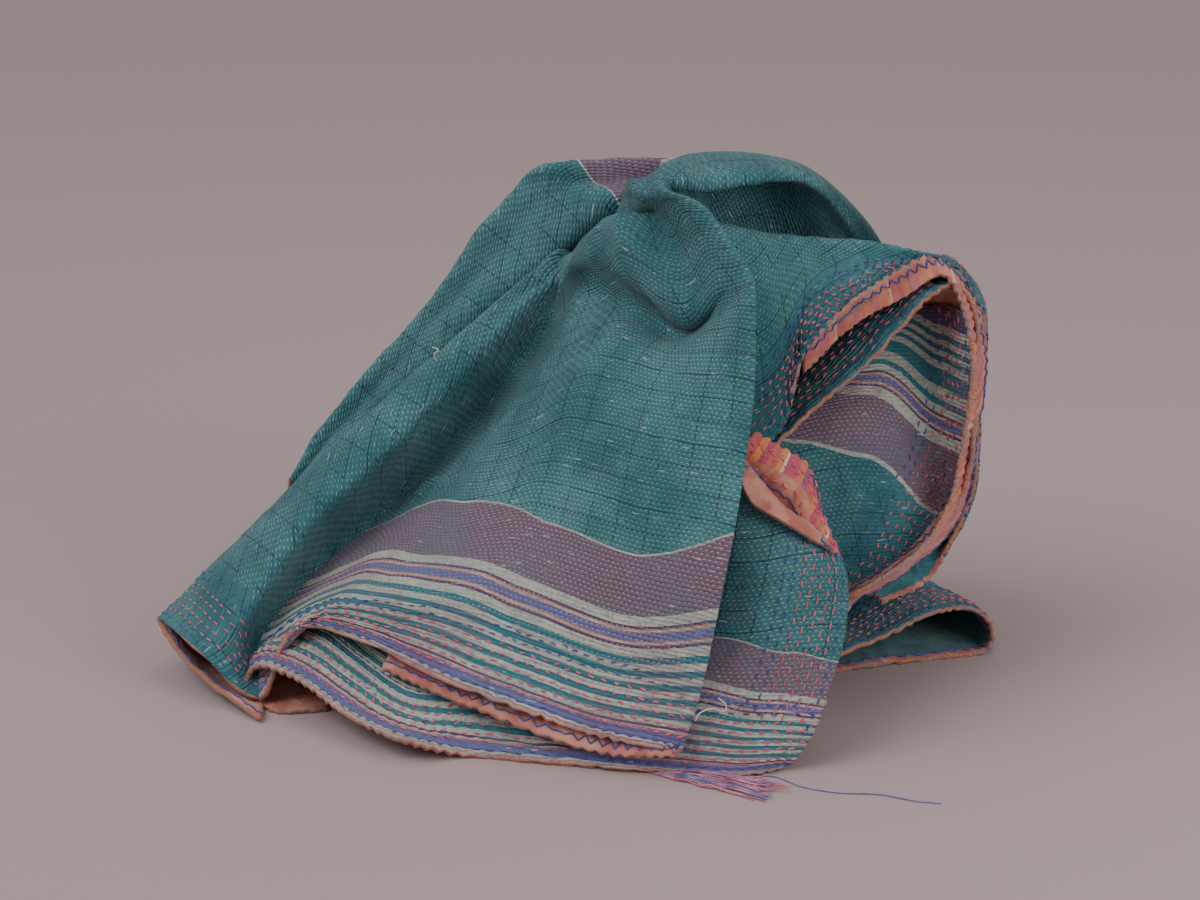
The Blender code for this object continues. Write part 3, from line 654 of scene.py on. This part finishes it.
def bound_edge():
    """Turned cotton edge: the face and backing rolled together and whipped flat."""
    # To the eye: a pale, rubbed line, a little shinier than the cloth and finely frayed
    made, tree, shader, place = cotton("turned_cotton_edge", roughness=0.8, sheen=0.2)
    fray = add(tree, "TexNoise", place, 1 / (EDGE_FRAY * MM), 2.0)
    tone = add(tree, "TexNoise", place, 1 / (EDGE_TONE * MM), 3.0)
    colour = stained(tree, "#AC6A52", tone, 0.42, 0.58, 1.0, "#93716F")
    colour = stained(tree, colour, fray, 0.5, 0.7, 0.35, "#DCCBB8")
    covered(tree, shader, colour, fray, 0.7, EDGE_RELIEF)
    return made


def thread_finish(name, low, high):
    """Two-ply cotton embroidery thread, in a darker and a lighter colour."""
    # To the eye: a soft lustre, with a fine slanting twist and uneven dye along its length
    made, tree, shader, place = cotton(name, roughness=0.62, sheen=0.35)
    # a slanting wave turns ten times as fast as its place does
    turns = math.tau / 10 / (THREAD_TWIST * MM)
    twist = add(tree, "TexWave", place, turns, 1.5, output=1, bands_direction="DIAGONAL")
    tone = add(tree, "TexNoise", place, 1 / (THREAD_TONE * MM))
    covered(tree, shader, stained(tree, low, tone, 0.35, 0.65, 1.0, high), twist, 0.5, THREAD_RELIEF)
    return made


# ---------------------------------------------------------------- pieces of cloth

# Relief in the cloth itself, in millimetres
SCALLOP_PERIOD = 7.5
SCALLOP_REACH = 2.6
SCALLOP_DEPTH = 7.0
PUCKER_HEIGHT = 0.8
PUCKER_DEPTH = 52.0
PUCKER_START = 6.0  # how far outside the edge the gathers would begin
PUCKER_PERIOD = 6.4
PUCKER_SWAY = 2.4  # how far the gathers wander along the edge, in radians of their wave
PUCKER_SWAYS = 45  # how many times they do so in a metre
PUCKER_SLANT = 0.045  # how far they lean for each millimetre in from the edge, in radians of their wave
SCALLOP_MIDDLE = 0.4  # share of the reach at which the mean edge lies
CREASE_ENDS = (0.15, 0.7)  # part of a half wave that a crease's height follows: its start and its length
CALM_RIDGE = 0.8  # columns each side of the ridge in which nothing moves towards the other wall
# Ripples: how many there are to a metre, their height in millimetres, and how each set is moved from the others
RIPPLES = ((150, 0.55, (0, 0, 0)), (75, 0.9, (7, 3, 1)), (26, 1.5, (2, 9, 4)))

MADE = {}  # each finished piece's grid of points, for the threads that lie on it


def ruffle(point):
    """Height of the soft ripples that the rows of stitch draw into the cloth, in metres."""
    return sum(noise.noise(point * count + Vector(moved)) * height for count, height, moved in RIPPLES) * MM


def scallop(distance, run, reach):
    """How far the edge stands out between two edge stitches, in metres."""
    if distance > SCALLOP_DEPTH * MM:
        return 0.0
    fade = 1 - distance / (SCALLOP_DEPTH * MM)
    return fade * reach * (abs(math.sin(math.pi * run / (SCALLOP_PERIOD * MM))) - SCALLOP_MIDDLE)


def pucker(distance, run, place, height):
    """Height of the gathers that the rows of coloured stitch pull in along an edge, in metres."""
    if distance > PUCKER_DEPTH * MM:
        return 0.0
    fade = math.sin(math.pi * min(1.0, (distance / MM + PUCKER_START) / (PUCKER_DEPTH + PUCKER_START)))
    sway = noise.noise(place * PUCKER_SWAYS) * PUCKER_SWAY + distance / MM * PUCKER_SLANT
    return fade * height * math.sin(2 * math.pi * run / (PUCKER_PERIOD * MM) + sway)


def crease(s, t, s0, t0, s1, t1, height, width):
    """Height of one drawn-in or raised crease at a place in a fold table, in metres."""
    length = (s1 - s0) ** 2 + (t1 - t0) ** 2
    share = ((s - s0) * (s1 - s0) + (t - t0) * (t1 - t0)) / length
    share = min(max(share, 0.0), 1.0)
    off = math.hypot(s - s0 - share * (s1 - s0), t - t0 - share * (t1 - t0)) / width
    return height * MM * math.exp(-off * off) * math.sin(math.pi * (CREASE_ENDS[0] + CREASE_ENDS[1] * share))


def outside(grid, i, j, hem, side):
    """The direction in which the cloth ends nearest the point, or nothing inside the cloth."""
    if min(hem, side) > SCALLOP_DEPTH * MM:
        return Vector()
    rows, columns = len(grid), len(grid[0])
    # each edge's distance from the point, and the step from that edge into the cloth
    ways = ((rows - 1 - i, -1, 0), (i, 1, 0), (columns - 1 - j, 0, -1), (j, 0, 1))
    _, down, over = min(ways, key=lambda way: way[0])
    inner = grid[min(max(i + down, 0), rows - 1)][min(max(j + over, 0), columns - 1)]
    return (grid[i][j] - inner).normalized()


def cloth_grid(name, piece, sizes):
    """The piece's points with their ripples, and what its patterns need at each of them."""
    across, along = piece["across"], piece["along"]
    grid = rounded(surface(piece["folds"], across, along), FOLD_ROUNDING)
    up = outward(grid)
    cells = measures(name, grid, across, along)
    moved = []
    for i, line in enumerate(grid):
        moved.append([])
        for j, point in enumerate(line):
            s, t = j / across, i / along
            run, _, hem, side = cells(i, j, s)
            near = min(hem, side)
            lift = ruffle(point) + pucker(near, run, point, sizes.gather_height) * piece.get("gathers", 1.0)
            for ends in CREASES.get(name, ()):
                lift += crease(s, t, *ends)
            if name == "front":
                lift *= min(1.0, abs(s - RIDGE_COLUMN) / CALM_RIDGE)
            place = point + up[i][j] * piece["face"] * lift + SHIFT
            place += outside(grid, i, j, hem, side) * scallop(near, run, sizes.scallop_reach)
            place.z = max(place.z, FOLD_LIFT * MM)
            moved[i].append(place)
    return moved, cells


def linked(name, data):
    """A new object in the scene, at the origin."""
    made = bpy.data.objects.new(name, data)
    bpy.context.collection.objects.link(made)
    return made


def cloth(name, piece, finishes, sizes):
    """One stretch of the quilt, as thick as its layers, with its weave and its distance from the edges as UV maps."""
    grid, cells = cloth_grid(name, piece, sizes)
    MADE[name] = grid
    rows, columns = len(grid), len(grid[0])
    made = bmesh.new()
    bmesh.ops.create_grid(made, x_segments=columns - 1, y_segments=rows - 1, size=1.0)
    spots = {}
    for vertex in made.verts:
        j = round((vertex.co.x + 1) / 2 * (columns - 1))
        i = round((vertex.co.y + 1) / 2 * (rows - 1))
        spots[vertex.index] = (i, j)
        vertex.co = grid[i][j]
    weave = made.loops.layers.uv.new("weave")
    edges = made.loops.layers.uv.new("edges")
    for face in made.faces:
        face.smooth = True
        middle = sum(spots[v.index][1] for v in face.verts) / 4 / piece["across"]
        for loop in face.loops:
            cell = cells(*spots[loop.vert.index], middle)
            loop[weave].uv = cell[:2]
            loop[edges].uv = cell[2:]
    if piece["face"] < 0:
        bmesh.ops.reverse_faces(made, faces=made.faces)
    mesh = bpy.data.meshes.new(name)
    made.to_mesh(mesh)
    made.free()
    for finish in finishes:
        mesh.materials.append(finish)
    body = linked("quilt_" + name, mesh)
    wall = body.modifiers.new("layers", "SOLIDIFY")
    wall.thickness = 2 * FOLD_LIFT * MM
    wall.offset = 0.0
    wall.material_offset = 1
    wall.material_offset_rim = 2
    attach(body, CLOTH_BODY)
    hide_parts("quilt")


# ---------------------------------------------------------------- thread

# Coloured rows: distance of each from the edge, in millimetres, and its colour
EDGE_ROWS = ((5.2, "blue"), (10.5, "pink"), (16.5, "pink"), (22.5, "pink"), (28.5, "pink"), (34.5, "pink"),
             (40.5, "blue"), (46.5, "blue"))
# Thread and its stitches, in millimetres
EDGE_STITCH = 3.8
EDGE_PERIOD = 8.6
EDGE_UNEVEN = (0.86, 1.14)  # least and most of the period from one stitch to the next
ROW_STAGGER = 0.42  # of the period, from one row's first stitch to the next row's
FLAP_STAGGER = 0.37
EDGE_THREAD = 0.62  # half the thickness, as are the others
ZIGZAG_THREAD = 0.62
LOOSE_PINK_THREAD = 0.42
LOOSE_THREAD = 0.4
ZIGZAG_PERIOD = 9.0
ZIGZAG_REACH = 1.4
ZIGZAG_INSET = 6.0
ZIGZAG_STEPS = 3  # points to each half swing
ZIGZAG_LIFT = 0.35
BLUE_SHARE = 0.8  # the blue thread's thickness as a share of the pink one's
THIN_END = 0.7  # the thickness of a cut end as a share of the thread's
# A stitch from end to end: share of its length, and height above the cloth in millimetres
STITCH_ARC = ((0.0, -0.5), (0.2, 0.25), (0.5, 0.45), (0.8, 0.25), (1.0, -0.5))
# Edges that are stitched: piece, which edge of its fold table, and the first and last fold line along it
EDGES = (
    ("front", "first_row", 0, 4), ("front", "first_row", 4, 11), ("apron", "first_column", 0, 11),
    ("apron", "first_row", 1, 4), ("shoulder", "last_column", 0, 12), ("mouth", "first_column", 0, 11),
    ("inner", "last_column", 0, 6), ("foot", "first_column", 0, 7),
)
FACED = ("shoulder",)  # edges whose zigzag is on the facing sewn to them
# Zigzags on the facing and the flap: first and last fold line, and distance of its turns from the edge
FACED_ZIGZAGS = (("facing", 0, 14, 3.0, 6.5), ("flap", 2, 4, 2.5, 5.5), ("flap", 0, 4, 26.0, 28.5))
FLAP_ROWS = (6.5, 9.0, 11.5, 22.0)  # pink rows on the flap's printed half


def spokes(name, side, first, last):
    """Lines of points and outward directions that run from an edge of a piece into it, one for each step along it."""
    piece, grid = PIECES[name], MADE[name]
    up = outward(grid)
    if side == "first_row":
        step = piece["across"]
        return [[(grid[i][j], up[i][j]) for i in range(len(grid))] for j in range(first * step, last * step + 1)]
    rows = range(first * piece["along"], last * piece["along"] + 1)
    order = range(len(grid[0])) if side == "first_column" else range(len(grid[0]) - 1, -1, -1)
    return [[(grid[i][j], up[i][j]) for j in order] for i in rows]


def inside(spoke, distance):
    """The point at a distance along a spoke, and the outward direction there."""
    walked = 0.0
    for (here, up), (there, over) in zip(spoke, spoke[1:]):
        step = (there - here).length
        if walked + step >= distance and step > 0:
            share = (distance - walked) / step
            return here.lerp(there, share), up.lerp(over, share).normalized()
        walked += step
    return spoke[-1]


def walk(line, place):
    """The point and direction at a place along a list of them, between its first and last entries."""
    place = min(max(place, 0), len(line) - 1.001)
    k = int(place)
    share = place - k
    return line[k][0].lerp(line[k + 1][0], share), line[k][1].lerp(line[k + 1][1], share)


def places_along(line):
    """Running length of a line of points, and a function from length to its place in the list."""
    lengths = [0.0]
    for (a, _), (b, _) in zip(line, line[1:]):
        lengths.append(lengths[-1] + (b - a).length)

    def place(length):
        k = next((n for n in range(len(lengths) - 1) if lengths[n + 1] >= length), len(lengths) - 2)
        return k + (length - lengths[k]) / max(lengths[k + 1] - lengths[k], 1e-9)
    return lengths[-1], place


def row_stitches(lines, distance, lift, phase):
    """The stitches of one row, at a distance from the edge: short arcs that rise from the cloth and go back into it."""
    line = [inside(spoke, distance * MM) for spoke in lines]
    whole, place = places_along(line)
    start = phase * EDGE_PERIOD * MM
    while start + EDGE_STITCH * MM < whole:
        arc = []
        for share, height in STITCH_ARC:
            point, up = walk(line, place(start + share * EDGE_STITCH * MM))
            arc.append(point + up * (lift + math.copysign(height * MM, lift)))
        yield arc
        start += EDGE_PERIOD * MM * random.uniform(*EDGE_UNEVEN)


def zigzag(lines, nearest, farthest, lift):
    """The zigzag thread on the backing, which swings between two distances from the edge."""
    near_line = [inside(spoke, nearest * MM) for spoke in lines]
    far_line = [inside(spoke, farthest * MM) for spoke in lines]
    turns = int(places_along(near_line)[0] / (ZIGZAG_PERIOD * MM / 2))
    lift = -lift - math.copysign(ZIGZAG_LIFT * MM, lift)
    points = []
    for k in range(turns * ZIGZAG_STEPS + 1):
        swing = abs((k / ZIGZAG_STEPS) % 2 - 1)
        place = k / (turns * ZIGZAG_STEPS) * (len(lines) - 1)
        near, up = walk(near_line, place)
        far, over = walk(far_line, place)
        points.append(near.lerp(far, swing) + up.lerp(over, swing).normalized() * lift)
    return points


def threads(name, strands, radius, finish, replaced=()):
    """Round threads of a radius, in metres, along the lines of points, as one curve."""
    data = bpy.data.curves.new(name, "CURVE")
    data.dimensions = "3D"
    data.bevel_depth = radius
    data.bevel_resolution = 1
    data.use_fill_caps = True
    for strand in strands:
        line = data.splines.new("POLY")
        line.points.add(len(strand) - 1)
        for k, point in enumerate(strand):
            line.points[k].co = (point.x, point.y, max(point.z, radius), 1)
            line.points[k].radius = THIN_END if k in (0, len(strand) - 1) else 1.0
    data.materials.append(finish)
    made = linked(name, data)
    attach(made, CLOTH_BODY)
    if replaced:
        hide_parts(*replaced)


def edge_threads():
    """All edge stitches and zigzags, by colour."""
    random.seed(11)
    found = {"pink": [], "blue": [], "zigzag": []}
    for name, side, first, last in EDGES:
        lines = spokes(name, side, first, last)
        lift = FOLD_LIFT * MM * PIECES[name]["face"]
        for number, (distance, shade) in enumerate(EDGE_ROWS):
            found[shade] += row_stitches(lines, distance, lift, ROW_STAGGER * number % 1)
        if name not in FACED:
            found["zigzag"].append(zigzag(lines, ZIGZAG_INSET - ZIGZAG_REACH, ZIGZAG_INSET + ZIGZAG_REACH, lift))
    for name, first, last, nearest, farthest in FACED_ZIGZAGS:
        lift = FOLD_LIFT * MM * PIECES[name]["face"]
        found["zigzag"].append(zigzag(spokes(name, "first_column", first, last), nearest, farthest, lift))
    lines = spokes("flap", "first_column", 0, 4)
    lift = FOLD_LIFT * MM * PIECES["flap"]["face"]
    for number, distance in enumerate(FLAP_ROWS):
        found["pink"] += row_stitches(lines, distance, -lift, FLAP_STAGGER * number % 1)
    return found


# The corner tassel: its ends as (across, rise) on the drawing plane and its half width, in millimetres
TASSEL_STRANDS = 90
TASSEL_START = (46, -42)
TASSEL_END = (142, -58)
TASSEL_SPREAD = 15
TASSEL_STEPS = 8
TASSEL_HEIGHT = 5.0
TASSEL_LEAST_HEIGHT = 0.6
TASSEL_WAVER = 0.9
TASSEL_REACH = (0.55, 1.0)  # length of a strand, as a share of the whole
TASSEL_SIDE_LOSS = 0.2  # how much shorter the outermost strands are
TASSEL_SIDE_DROP = 0.55  # how much lower they lie
TASSEL_FLARE = (0.155, 0.62)  # share of the spread at the start, and how it grows to the end
TASSEL_END_SWELL = 0.6
# Loose thread ends: cells as (across, rise) on the floor, or (across, rise, depth) on the cloth, in millimetres
LONG_THREAD = ((62, -47), (96, -51), (125, -47), (146, -54), (170, -58), (196, -59), (218, -63), (237, -65))
LONG_THREAD_LIFT = 0.7
WHITE_ENDS = (
    ((-91, 222, 70), (-93, 226, 66), (-90, 229, 66), (-94, 231, 68)),
    ((92, 3, -126), (97, -2, -128), (95, -6, -129), (88, -4, -129), (80, -7, -129), (77, -12, -128)),
)
BLUE_END = ((221, 92, 14), (222, 84, 8), (226, 78, 4), (233, 73, 4))


def on_floor(across, rise, height):
    """A point on the floor at a place of the drawing plane, raised a little, in millimetres."""
    point = placed((across, rise, FLOOR)) + SHIFT
    point.z = height * MM
    return point


def on_cloth(cells):
    """A smooth line through cells of the drawing plane."""
    return spline([placed(cell) + SHIFT for cell in cells], 6)


def tassel_threads():
    """The thread ends of the corner tassel and the loose threads, by colour."""
    random.seed(5)
    found = {"pink": [], "blue": []}
    for k in range(TASSEL_STRANDS):
        side, high = random.uniform(-1, 1), random.uniform(0.2, 1)
        reach = random.uniform(*TASSEL_REACH) - TASSEL_SIDE_LOSS * abs(side)
        strand = []
        for step in range(TASSEL_STEPS + 1):
            share = step / TASSEL_STEPS * reach
            swell = math.sin(math.pi * min(share * 1.25, 1.0)) if share < 0.8 else TASSEL_END_SWELL
            across = TASSEL_START[0] + (TASSEL_END[0] - TASSEL_START[0]) * share
            rise = TASSEL_START[1] + (TASSEL_END[1] - TASSEL_START[1]) * share
            rise += side * TASSEL_SPREAD * (TASSEL_FLARE[0] + TASSEL_FLARE[1] * share)
            rise += random.uniform(-1, 1) * TASSEL_WAVER
            height = high * TASSEL_HEIGHT * swell * (1 - TASSEL_SIDE_DROP * abs(side))
            strand.append(on_floor(across, rise, TASSEL_LEAST_HEIGHT + height))
        found["pink" if k % 3 else "blue"].append(spline(strand, 3))
    found["blue"].append(spline([on_floor(*cell, LONG_THREAD_LIFT) for cell in LONG_THREAD], 6))
    found["blue"].append(on_cloth(BLUE_END))
    found["white"] = [on_cloth(end) for end in WHITE_ENDS]
    return found


# ---------------------------------------------------------------- stage

SENSOR_WIDTH = 36.0  # in millimetres
FLOOR_SIZE = 30.0
ROOM_COLOUR = "#EFEBE8"
ROOM_STRENGTH = 0.46
WINDOW_STRENGTH = 0.95
WINDOW_ANGLE = math.radians(50)
WINDOW_FROM = (-1.0, -0.5, 1.3)
# Lights: name, place, aim, power in watts and width in metres
LIGHTS = (
    ("softbox_left", (-1.5, -0.9, 1.8), (0, 0, 0.15), 9.5, 1.1),
    ("softbox_right", (1.6, -1.3, 0.9), (0.2, 0, 0.12), 18, 1.2),
    ("softbox_top", (0.1, 0.5, 2.2), (0, 0, 0.1), 4.5, 1.4),
)


def aimed(made, way):
    """Turns a light or a camera to look along a direction."""
    made.rotation_euler = way.to_track_quat("-Z", "Y").to_euler()


def stage(sizes):
    """A pale floor, a soft window, three soft lights and the camera."""
    made = bmesh.new()
    bmesh.ops.create_grid(made, x_segments=1, y_segments=1, size=FLOOR_SIZE / 2)
    mesh = bpy.data.meshes.new(FLOOR_NAME)
    made.to_mesh(mesh)
    made.free()
    # Background paper: to the eye an even, matt tone with no gloss
    paper = bpy.data.materials.new("matt_background_paper")
    paper.use_nodes = True
    shader = paper.node_tree.nodes["Principled BSDF"].inputs
    shader["Base Color"].default_value = sizes.floor_colour
    shader["Roughness"].default_value = 0.9
    mesh.materials.append(paper)
    linked(FLOOR_NAME, mesh)

    for name, place, aim, power, width in LIGHTS:
        data = bpy.data.lights.new(name, "AREA")
        data.energy, data.size, data.shape = power, width, "SQUARE"
        lamp = linked(name, data)
        lamp.location = Vector(place)
        aimed(lamp, Vector(aim) - Vector(place))
    data = bpy.data.lights.new("window", "SUN")
    data.energy, data.angle = WINDOW_STRENGTH, WINDOW_ANGLE
    aimed(linked("window", data), -Vector(WINDOW_FROM))
    world = bpy.data.worlds.new("soft_room_light")
    world.use_nodes = True
    room = world.node_tree.nodes["Background"].inputs
    room["Color"].default_value = to_linear(ROOM_COLOUR)
    room["Strength"].default_value = ROOM_STRENGTH
    bpy.context.scene.world = world

    data = bpy.data.cameras.new("camera")
    data.lens, data.sensor_width = sizes.lens, SENSOR_WIDTH
    camera = linked("camera", data)
    camera.location = EYE + SHIFT
    aimed(camera, PLANE_AWAY)
    bpy.context.scene.camera = camera


# ---------------------------------------------------------------- add-on

# Darker and lighter lengths of the loose threads
FADED_PINK = ("#B5607F", "#D889A0")
FADED_BLUE = ("#50559A", "#7C80B4")
WHITE = ("#CFCDC2", "#E6E3D8")


def colour(name, description, shade):
    """A colour that a user may change, from a hex value."""
    return bpy.props.FloatVectorProperty(name=name, description=description, subtype="COLOR", size=4,
                                         default=to_linear(shade), min=0, max=1)


class QuiltCloth(bpy.types.PropertyGroup):
    """Sizes and colours of the quilt's cloth and sewing."""
    scallop_reach: bpy.props.FloatProperty(
        name="Edge scallop", description="How far the sewn edge stands out between two stitches",
        default=SCALLOP_REACH * MM, unit="LENGTH")
    gather_height: bpy.props.FloatProperty(
        name="Gathers", description="Height of the gathers that the coloured rows pull in along the edges",
        default=PUCKER_HEIGHT * MM, unit="LENGTH")
    thread_radius: bpy.props.FloatProperty(
        name="Edge thread", description="Half the thickness of the coloured stitching thread",
        default=EDGE_THREAD * MM, unit="LENGTH")
    teal: colour("Teal", "The sari cotton where it has kept its colour", "#31676F")
    faded_teal: colour("Faded teal", "The sari cotton where it has faded", "#4B8188")
    backing: colour("Backing", "The salmon backing where it has kept its colour", "#B26C5E")
    faded_backing: colour("Faded backing", "The salmon backing where it has faded", "#CE9180")
    pink: colour("Pink thread", "The pink stitching thread", "#C9486B")
    pale_pink: colour("Pale pink thread", "The pink thread's lighter lengths", "#E56A88")
    blue: colour("Blue thread", "The blue stitching thread", "#26357F")
    pale_blue: colour("Pale blue thread", "The blue thread's lighter lengths", "#3A4FA6")


class QuiltStage(bpy.types.PropertyGroup):
    """The plain stage that the quilt lies on."""
    floor_colour: colour("Floor", "Colour of the floor and backdrop", "#B6A3A3")
    lens: bpy.props.FloatProperty(
        name="Lens", description="Focal length of the camera, in millimetres", default=90.0)


class OBJECT_OT_quilt_cloth(bpy.types.Operator):
    """Makes the quilt's folds of stitched cloth"""
    bl_idname = "quilt.cloth"
    bl_label = "Folds of cloth"

    def execute(self, context):
        sizes = context.scene.quilt_cloth
        face, edge = face_cloth(sizes), bound_edge()
        plain = backing_cloth("faded_cotton_backing", sizes)
        backings = {"flap": backing_cloth("printed_cotton_backing", sizes, printed=0.8, seam=16.0),
                    "facing": backing_cloth("patched_cotton_backing", sizes, printed=0.35),
                    "foot": backing_cloth("doubled_cotton_hem", sizes, printed=0.4, strip=8.0),
                    "shoulder": backing_cloth("doubled_cotton_edge", sizes, strip=3.0)}
        for name, piece in PIECES.items():
            cloth(name, piece, (face, backings.get(name, plain), edge), sizes)
        return {"FINISHED"}


class OBJECT_OT_quilt_edge_threads(bpy.types.Operator):
    """Sews the pink and blue stitches round the edges and the zigzag on the backing"""
    bl_idname = "quilt.edge_threads"
    bl_label = "Edge stitching"

    def execute(self, context):
        sizes = context.scene.quilt_cloth
        found = edge_threads()
        pink = thread_finish("pink_cotton_thread", sizes.pink, sizes.pale_pink)
        blue = thread_finish("blue_cotton_thread", sizes.blue, sizes.pale_blue)
        threads("pink_edge_stitches", found["pink"], sizes.thread_radius, pink)
        threads("blue_edge_stitches", found["blue"], sizes.thread_radius * BLUE_SHARE, blue)
        threads("blue_zigzag", found["zigzag"], ZIGZAG_THREAD * MM, blue)
        return {"FINISHED"}


class OBJECT_OT_quilt_loose_threads(bpy.types.Operator):
    """Lays the corner tassel's thread ends and the loose threads"""
    bl_idname = "quilt.loose_threads"
    bl_label = "Tassel and loose threads"

    def execute(self, context):
        found = tassel_threads()
        pink = thread_finish("faded_pink_thread", *FADED_PINK)
        blue = thread_finish("faded_blue_thread", *FADED_BLUE)
        white = thread_finish("white_cotton_thread", *WHITE)
        threads("corner_tassel_pink", found["pink"], LOOSE_PINK_THREAD * MM, pink, ("corner_tassel",))
        threads("corner_tassel_blue", found["blue"], LOOSE_THREAD * MM, blue)
        threads("white_thread_ends", found["white"], LOOSE_THREAD * MM, white)
        return {"FINISHED"}


class OBJECT_OT_quilt_stage(bpy.types.Operator):
    """Makes the floor, the lights and the camera"""
    bl_idname = "quilt.stage"
    bl_label = "Stage"

    def execute(self, context):
        stage(context.scene.quilt_stage)
        return {"FINISHED"}


class VIEW3D_PT_quilt(bpy.types.Panel):
    """Shows the quilt's and the stage's sizes and colours, and the buttons that make them"""
    bl_label = "Quilt"
    bl_space_type = "VIEW_3D"
    bl_region_type = "UI"
    bl_category = "Quilt"

    def draw(self, context):
        for group in (context.scene.quilt_cloth, context.scene.quilt_stage):
            box = self.layout.box()
            for key in group.bl_rna.properties.keys():
                if key not in ("rna_type", "name"):
                    box.prop(group, key)
        for operator in OPERATORS:
            self.layout.operator(operator.bl_idname)


OPERATORS = (OBJECT_OT_quilt_stage, OBJECT_OT_quilt_cloth, OBJECT_OT_quilt_edge_threads,
             OBJECT_OT_quilt_loose_threads)
CLASSES = (QuiltCloth, QuiltStage) + OPERATORS + (VIEW3D_PT_quilt,)


def register():
    for entry in CLASSES:
        bpy.utils.register_class(entry)
    bpy.types.Scene.quilt_cloth = bpy.props.PointerProperty(type=QuiltCloth)
    bpy.types.Scene.quilt_stage = bpy.props.PointerProperty(type=QuiltStage)


def unregister():
    del bpy.types.Scene.quilt_stage
    del bpy.types.Scene.quilt_cloth
    for entry in reversed(CLASSES):
        bpy.utils.unregister_class(entry)


def main():
    register()
    for operator in OPERATORS:
        group, label = operator.bl_idname.split(".")
        getattr(getattr(bpy.ops, group), label)()


if __name__ == "__main__":
    main()
